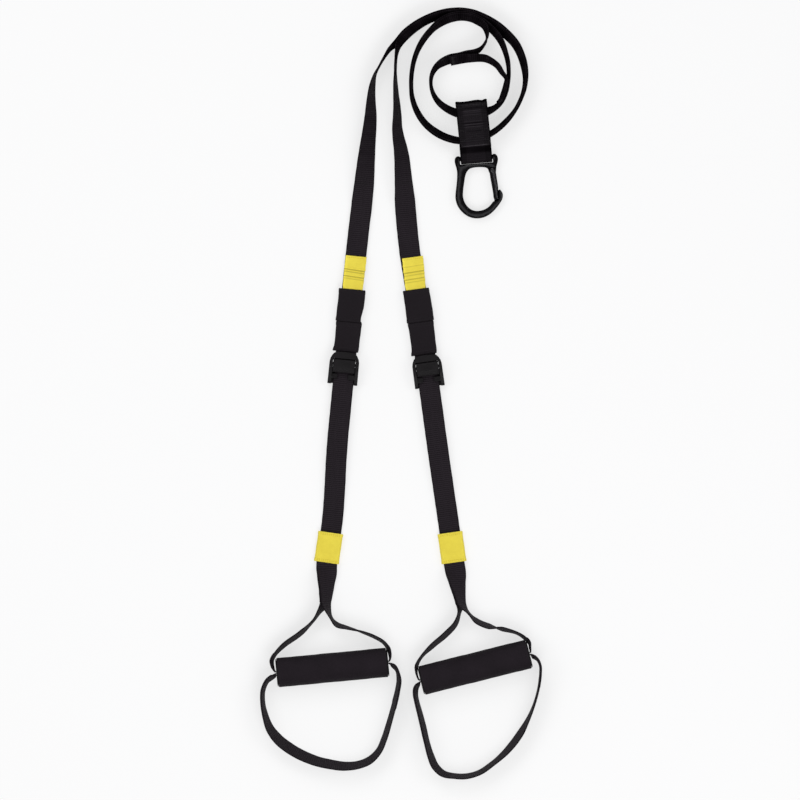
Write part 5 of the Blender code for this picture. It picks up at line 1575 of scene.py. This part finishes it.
# ---------------------------------------------------------------- adjusting straps, labels
LABELS = {"left": ((328.6, 547.6), -8.4), "right": ((452.0, 547.6), 8.0)}
for leg in (LEFT, RIGHT):
    (lu, lv), lean = LABELS[leg.side]
    rows = [(*leg.on(v), -90, ADJ_Z) for v in (296.0, 330.0, 370.0, 410.0, 436.0)]
    s = math.tan(math.radians(lean))
    for v, z in ((460.0, 7.6), (484.0, 5.4), (506.0, 3.1), (522.0, 2.05), (533.0, 1.9),
                 (546.0, 1.9), (559.0, 1.9)):
        if v < 530:
            k = (v - 436.0) / (533.0 - 436.0)
            u0, u1 = leg.u0 + leg.slope * (436 - 256), lu - s * (lv - 533.0)
            m0, m1 = leg.slope, s
            h = 533.0 - 436.0
            u = ((2 * k ** 3 - 3 * k ** 2 + 1) * u0 + (k ** 3 - 2 * k ** 2 + k) * h * m0
                 + (-2 * k ** 3 + 3 * k ** 2) * u1 + (k ** 3 - k ** 2) * h * m1)
        else:
            u = lu + s * (v - lv)
        rows.append((*plan(u, v), -90, z))
    strip = Strip(fill_in(stations(curve(rows, 2.5)), 2.5), WEB_W, WEB_T)
    ob = web_piece(f"{leg.side}_adjusting_webbing", strip, WEB, f"{leg.side}_handle",
                   f"{leg.side}_adjust_strap", seed=0.9 + 0.8 * leg.slope)

    c = Vector((*plan(lu, lv), 0))
    t = math.radians(lean)
    down = Vector((math.sin(t), -math.cos(t), 0))
    right = Vector((-down.y, down.x, 0))

    def place(u, v, z, c=c, right=right, down=down):
        return c + right * u + down * v + Vector((0, 0, z))

    tube_piece(f"{leg.side}_label_cover", place, 14.9, (0.2, 7.4), (1.0, 6.6), -18.2, 18.2,
               1.0, YELLOW, f"{leg.side}_handle", f"{leg.side}_label_sleeve",
               seed=3.0 + leg.slope * 9, hem=3.2, thread=YELLOW_THREAD,
               sag=0.45)


# ---------------------------------------------------------------- buckles
for leg in (LEFT, RIGHT):
    side = leg.side
    b = leg.buckle
    ob = from_node(f"{side}_buckle_frame")
    moulded(ob, 0.30, 4, 0.45)
    piece(ob, f"{side}_buckle_moulding", PLASTIC, "root",
          [f"{side}_buckle_frame"])
    ob = from_node(f"{side}_cam_lever")
    # grip ridges across the thumb plate
    for v in (1.1, 2.5, 3.9):
        cut(ob, raw(rod_mesh(b(-11.6, v - 1.5, 17.0), b(11.6, v - 1.5, 17.0), 0.62, 12)))
    moulded(ob, 0.26, 3, 0.5)
    piece(ob, f"{side}_cam_moulding", PLASTIC, f"{side}_cam",
          [f"{side}_cam_lever"])


# ---------------------------------------------------------------- grips
GRIPS = {"left": ((332.3, 667.5), 5.4), "right": ((475.1, 667.2), 14.0)}
YOKE = {
    "left": {
        "pair": [(330.4, 536.0, -90, 2.65), (328.7, 547.5, -90, 2.65),
                 (327.2, 558.0, -90, 2.65), (326.7, 565.5, -90, 2.65),
                 (326.7, 573.0, -72, 2.0), (326.3, 581.0, -53, 1.0),
                 (326.2, 589.0, -41, 0.4), (325.7, 596.0, -34, 0.0),
                 (325.3, 602.5, -28, 0.0)],
        "first": [(319.0, 612.1, -11, 0.0), (313.2, 620.8, -4, 0.0),
                  (300.3, 633.4, -13, 0.0), (284.0, 645.1, -12, 0.2),
                  (275.1, 654.5, -8.5, 1.2), (271.9, 661.4, -8, 2.9),
                  (272.4, 666.6, -4, 4.4)],
        "last": [(390.3, 656.8, -3, 4.6), (388.9, 650.4, -8, 3.2),
                 (383.9, 642.7, -8, 1.4), (374.3, 636.9, -8, 0.4),
                 (359.5, 631.2, -1, 0.0), (346.2, 627.5, 8.7, 0.0),
                 (337.1, 624.8, 13, 0.0), (331.6, 618.6, 7, 0.0)],
    },
    "right": {
        "pair": [(450.3, 536.0, -90, 2.65), (451.9, 547.5, -90, 2.65),
                 (453.4, 558.0, -90, 2.65), (454.5, 565.5, -90, 2.65),
                 (455.8, 573.0, -75, 2.0), (456.9, 581.1, -52, 1.0),
                 (458.3, 589.1, -39, 0.4), (459.5, 596.1, -30, 0.0),
                 (460.7, 603.1, -25, 0.0)],
        "first": [(459.0, 613.9, -8, 0.0), (455.3, 624.1, -12.5, 0.0),
                  (445.8, 634.4, -15, 0.0), (432.5, 645.7, -13, 0.2),
                  (421.7, 656.6, -6, 1.2), (417.0, 665.2, -8, 3.0),
                  (416.3, 671.2, -4, 4.4)],
        "last": [(530.4, 648.4, -3, 4.6), (529.4, 643.4, -7, 3.4),
                 (525.0, 638.4, -8, 1.8), (516.8, 633.1, -6, 0.6),
                 (503.1, 629.2, -11, 0.0), (488.2, 626.1, 15, 0.0),
                 (476.9, 621.2, 13.5, 0.0), (469.4, 614.0, 4, 0.0)],
    },
}
CRADLE = {
    "left": [(273.4, 676.0, -10, 4.6), (269.6, 678.9, -10, 4.1), (266.3, 682.2, -8, 3.4),
             (262.9, 691.0, -9, 1.8), (262.9, 704.0, -10, 0.4), (265.3, 715.7, -14.5, 0.0),
             (269.8, 728.2, -23, 0.0), (278.7, 739.8, -29, 0.0), (288.9, 747.9, -31, 0.0),
             (301.4, 755.1, -30, 0.0), (316.8, 761.3, -28.5, 0.0),
             (330.2, 764.3, -27, 0.0), (343.4, 766.2, -25, 0.0), (356.9, 765.2, -22, 0.0),
             (369.3, 760.5, -20.5, 0.0), (378.7, 751.2, -17, 0.0),
             (384.6, 737.7, -15, 0.0), (389.2, 722.9, -14, 0.0), (393.5, 707.3, -12.5, 0.2),
             (397.3, 692.1, -10.5, 1.4), (399.0, 680.0, -9, 3.0), (397.4, 671.4, -4, 4.2),
             (393.9, 666.3, -8, 4.7)],
    "right": [(417.9, 684.2, -7, 4.7), (416.0, 688.2, -11, 4.0), (415.5, 693.4, -10, 3.0),
              (416.3, 699.6, -9, 2.1), (419.4, 711.7, -11.5, 0.8), (423.0, 725.9, -13, 0.1),
              (427.0, 743.1, -13.5, 0.0), (430.8, 756.2, -17, 0.0), (435.6, 766.8, -19.5, 0.0),
              (443.7, 773.9, -18, 0.0), (454.7, 776.1, -14, 0.0), (466.0, 776.3, -14.5, 0.0),
              (479.4, 772.6, -13.5, 0.0), (492.5, 763.7, -13, 0.0), (506.3, 751.5, -17, 0.0),
              (518.6, 736.0, -19, 0.0), (527.6, 720.2, -10, 0.0), (533.9, 705.1, -4, 0.2),
              (538.2, 690.0, -2, 1.2), (540.4, 675.0, -2, 3.0), (540.3, 665.6, -2, 4.2),
              (537.8, 660.0, -3, 4.6), (533.8, 656.8, -7, 4.9)],
}


def foam_mesh(c, axis, seed):
    """Foam sleeve with rounded, slightly dished ends and an uneven skin."""
    h = GRIP_L / 2
    profile = []
    for k in range(7):
        q = math.radians(90 * k / 6)
        profile.append((-h + 1.5 * (1 - math.sin(q)), GRIP_R - 1.5 * (1 - math.cos(q)), 0.4))
    profile = profile[::-1]
    n = 56
    for i in range(1, n):
        profile.append((-h + 1.5 + (2 * h - 3.0) * i / n, GRIP_R, 1.0))
    for k in range(7):
        q = math.radians(90 * k / 6)
        profile.append((h - 1.5 * (1 - math.sin(q)), GRIP_R - 1.5 * (1 - math.cos(q)), 0.4))
    profile = [(min(max(s, -h), h), r, f) for s, r, f in profile]
    inner = CORE_RO + GAP
    profile += [(h - 0.15, GRIP_R - 2.4, 0.0), (h - 0.2, inner, 0.0)]
    profile += [(h * 0.6, inner, 0.0), (0.0, inner, 0.0), (-h * 0.6, inner, 0.0)]
    profile += [(-h + 0.2, inner, 0.0), (-h + 0.15, GRIP_R - 2.4, 0.0)]
    x = Vector((0, 0, 1))
    y = axis.cross(x)
    sides = 96
    bm = bmesh.new()
    rings = []
    for i in range(sides):
        k = 2 * math.pi * i / sides
        d = x * math.cos(k) + y * math.sin(k)
        row = []
        for s, r, f in profile:
            lump = 0.09 * math.sin(3 * k + 0.11 * s + seed) \
                + 0.07 * math.sin(5 * k - 0.21 * s + 2 * seed) \
                + 0.05 * math.sin(9 * k + 0.43 * s + 3 * seed)
            # uneven skin, drawn in 0.12 mm on the barrel and less on the rounded ends
            row.append(bm.verts.new(c + axis * s + d * (r + f * (lump - 0.12))))
        rings.append(row)
    n = len(profile)
    for i in range(sides):
        r0, r1 = rings[i], rings[(i + 1) % sides]
        for k in range(n):
            j = (k + 1) % n
            bm.faces.new((r0[k], r0[j], r1[j], r1[k]))
    return bm


for side in ("left", "right"):
    (gu, gv), lean = GRIPS[side]
    c = Vector((*plan(gu, gv), GRIP_Z))
    t = math.radians(lean)
    axis = Vector((math.cos(t), math.sin(t), 0))
    up = Vector((-math.sin(t), math.cos(t), 0))
    h = GRIP_L / 2
    grip = finish(f"{side}_grip_sleeve", foam_mesh(c, axis, 0.7 if side == "left" else 2.9),
                  FOAM, f"{side}_grip", (f"{side}_grip_foam",), angle=50)
    for s, tag in ((-1, "a"), (1, "b")):
        i0, i1 = s * (h + 0.25), s * (h + 0.25 + RING_T)
        low, r0, r1 = CORE_RO + GAP, RING_RO, RING_RO - 0.3
        prof = [(i0, low + 0.1), (i0, r0 - 0.25), (i0 + s * 0.08, r0 - 0.06),
                (i0 + s * 0.25, r0), (i0 + s * 0.6, r0 - 0.02),
                (i0 + s * 0.85, r1 - 0.08), (i1, r1 - 0.35), (i1, low + 0.35),
                (i1 - s * 0.1, low + 0.1), (i1 - s * 0.35, low), (i0 + s * 0.2, low)]
        finish(f"{side}_grip_end_{tag}", turned_mesh(c, axis, prof, 72), PLASTIC,
               f"{side}_grip", (f"{side}_grip_ring_{tag}",), angle=35)

    def mouth_relief(frames, way, c=c, axis=axis, up=up):
        """The folded webbing stands fuller where it bends out of the grip."""
        def relief(i, x, y):
            p, w, n = frames[i]
            s = abs((p - c).dot(axis))
            face = 1 if y > 0 else -1
            k = (1 - smoothstep(s, 84.0, 92.0)) * (1 - smoothstep(abs(n.z), 0.12, 0.40))
            k *= max(smoothstep((n * face).dot(up) * way, -0.2, 0.4) *
                     smoothstep(s, 67.7, 68.6), smoothstep(s, 69.6, 71.2))
            away = smoothstep(abs((p - c).dot(up)), 24.0, 32.0)
            thin = away * (1 - smoothstep(abs(n.z), 0.03, 0.16))
            return n * (max(0.62 * k, 0.42 * thin) * max(-1.0, min(1.0, y / 0.45)))
        return relief

    data = YOKE[side]
    run = stations(curve(grid_rows(data["pair"], PAIR / 2), 2.5))
    down = beside(run, PAIR / 2)
    up_again = [(p, w, -n) for p, w, n in reversed(beside(run, -PAIR / 2))]
    near = as_rows(beside(run, PAIR / 2), 8.0)[-4:]
    far = as_rows(up_again, 8.0)[:4]
    y = 1.25
    inside = []
    for s in (-69.0, -66.0, -40.0, 0.0, 40.0, 66.0, 69.0):
        p = c + axis * s + up * y
        inside.append((p.x, p.y, 0.0, GRIP_Z))
    rows = near + grid_rows(data["first"]) + inside + grid_rows(data["last"]) + far
    marks = []
    loop = stations(curve(rows, 2.5, marks=marks))[marks[3] + 2:marks[-4] - 1]
    strip = Strip(fill_in(down + loop + up_again, 3.0), WEB_W, WEB_T)
    ob = web_piece(f"{side}_yoke_webbing", strip, WEB, f"{side}_handle",
                   f"{side}_yoke_strap", seed=4.0 + gu * 0.01,
                   relief=mouth_relief(strip.frames, 1))

    inside = []
    for s in (69.0, 66.0, 40.0, 0.0, -40.0, -66.0, -69.0):
        p = c + axis * s - up * y
        inside.append((p.x, p.y, 0.0, GRIP_Z))
    rows = grid_rows(CRADLE[side]) + inside
    strip = Strip(stations(curve(rows, 2.5, closed=True), closed=True), WEB_W, WEB_T,
                  closed=True)
    ob = web_piece(f"{side}_cradle_webbing", strip, WEB, f"{side}_handle",
                   f"{side}_foot_cradle", seed=5.0 + gu * 0.01,
                   relief=mouth_relief(strip.frames, -1))


# ---------------------------------------------------------------- seams of the main strap
bm = bmesh.new()
for u, v in ((367.0, 138.0), (363.9, 183.0), (403.4, 183.0)):
    x, y = plan(u, v)
    s = main.near(x, y)
    _, n = main.at(s, 0, 1)
    way = 1 if n.z > 0 else -1
    spot = lambda s, w, way=way: main.at(s, w, way, 0.02)
    stitch_line(bm, spot, (s - 1.0, -11.4), (s - 1.0, 11.4), 2.2, r=0.26)
    stitch_line(bm, spot, (s + 1.0, -11.4), (s + 1.0, 11.4), 2.2, r=0.26)
finish("main_strap_stitching", bm, THREAD, "root")


# ---------------------------------------------------------------- CAD nodes that stay
def dress(node, mat):
    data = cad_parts[node].data
    data.materials.clear()
    data.materials.append(mat)


for node in ["gate_pin", "gate_spring"] + [f"{s}_{n}" for s in ("left", "right")
                                           for n in ("buckle_bar", "cam_pin", "cam_spring")]:
    dress(node, STEEL)
for side in ("left", "right"):
    dress(f"{side}_grip_core", PLASTIC_DARK)


# ---------------------------------------------------------------- end of the script
low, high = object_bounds()
{"cad": [list(cad_low), list(cad_high)], "visual": [list(low), list(high)]}
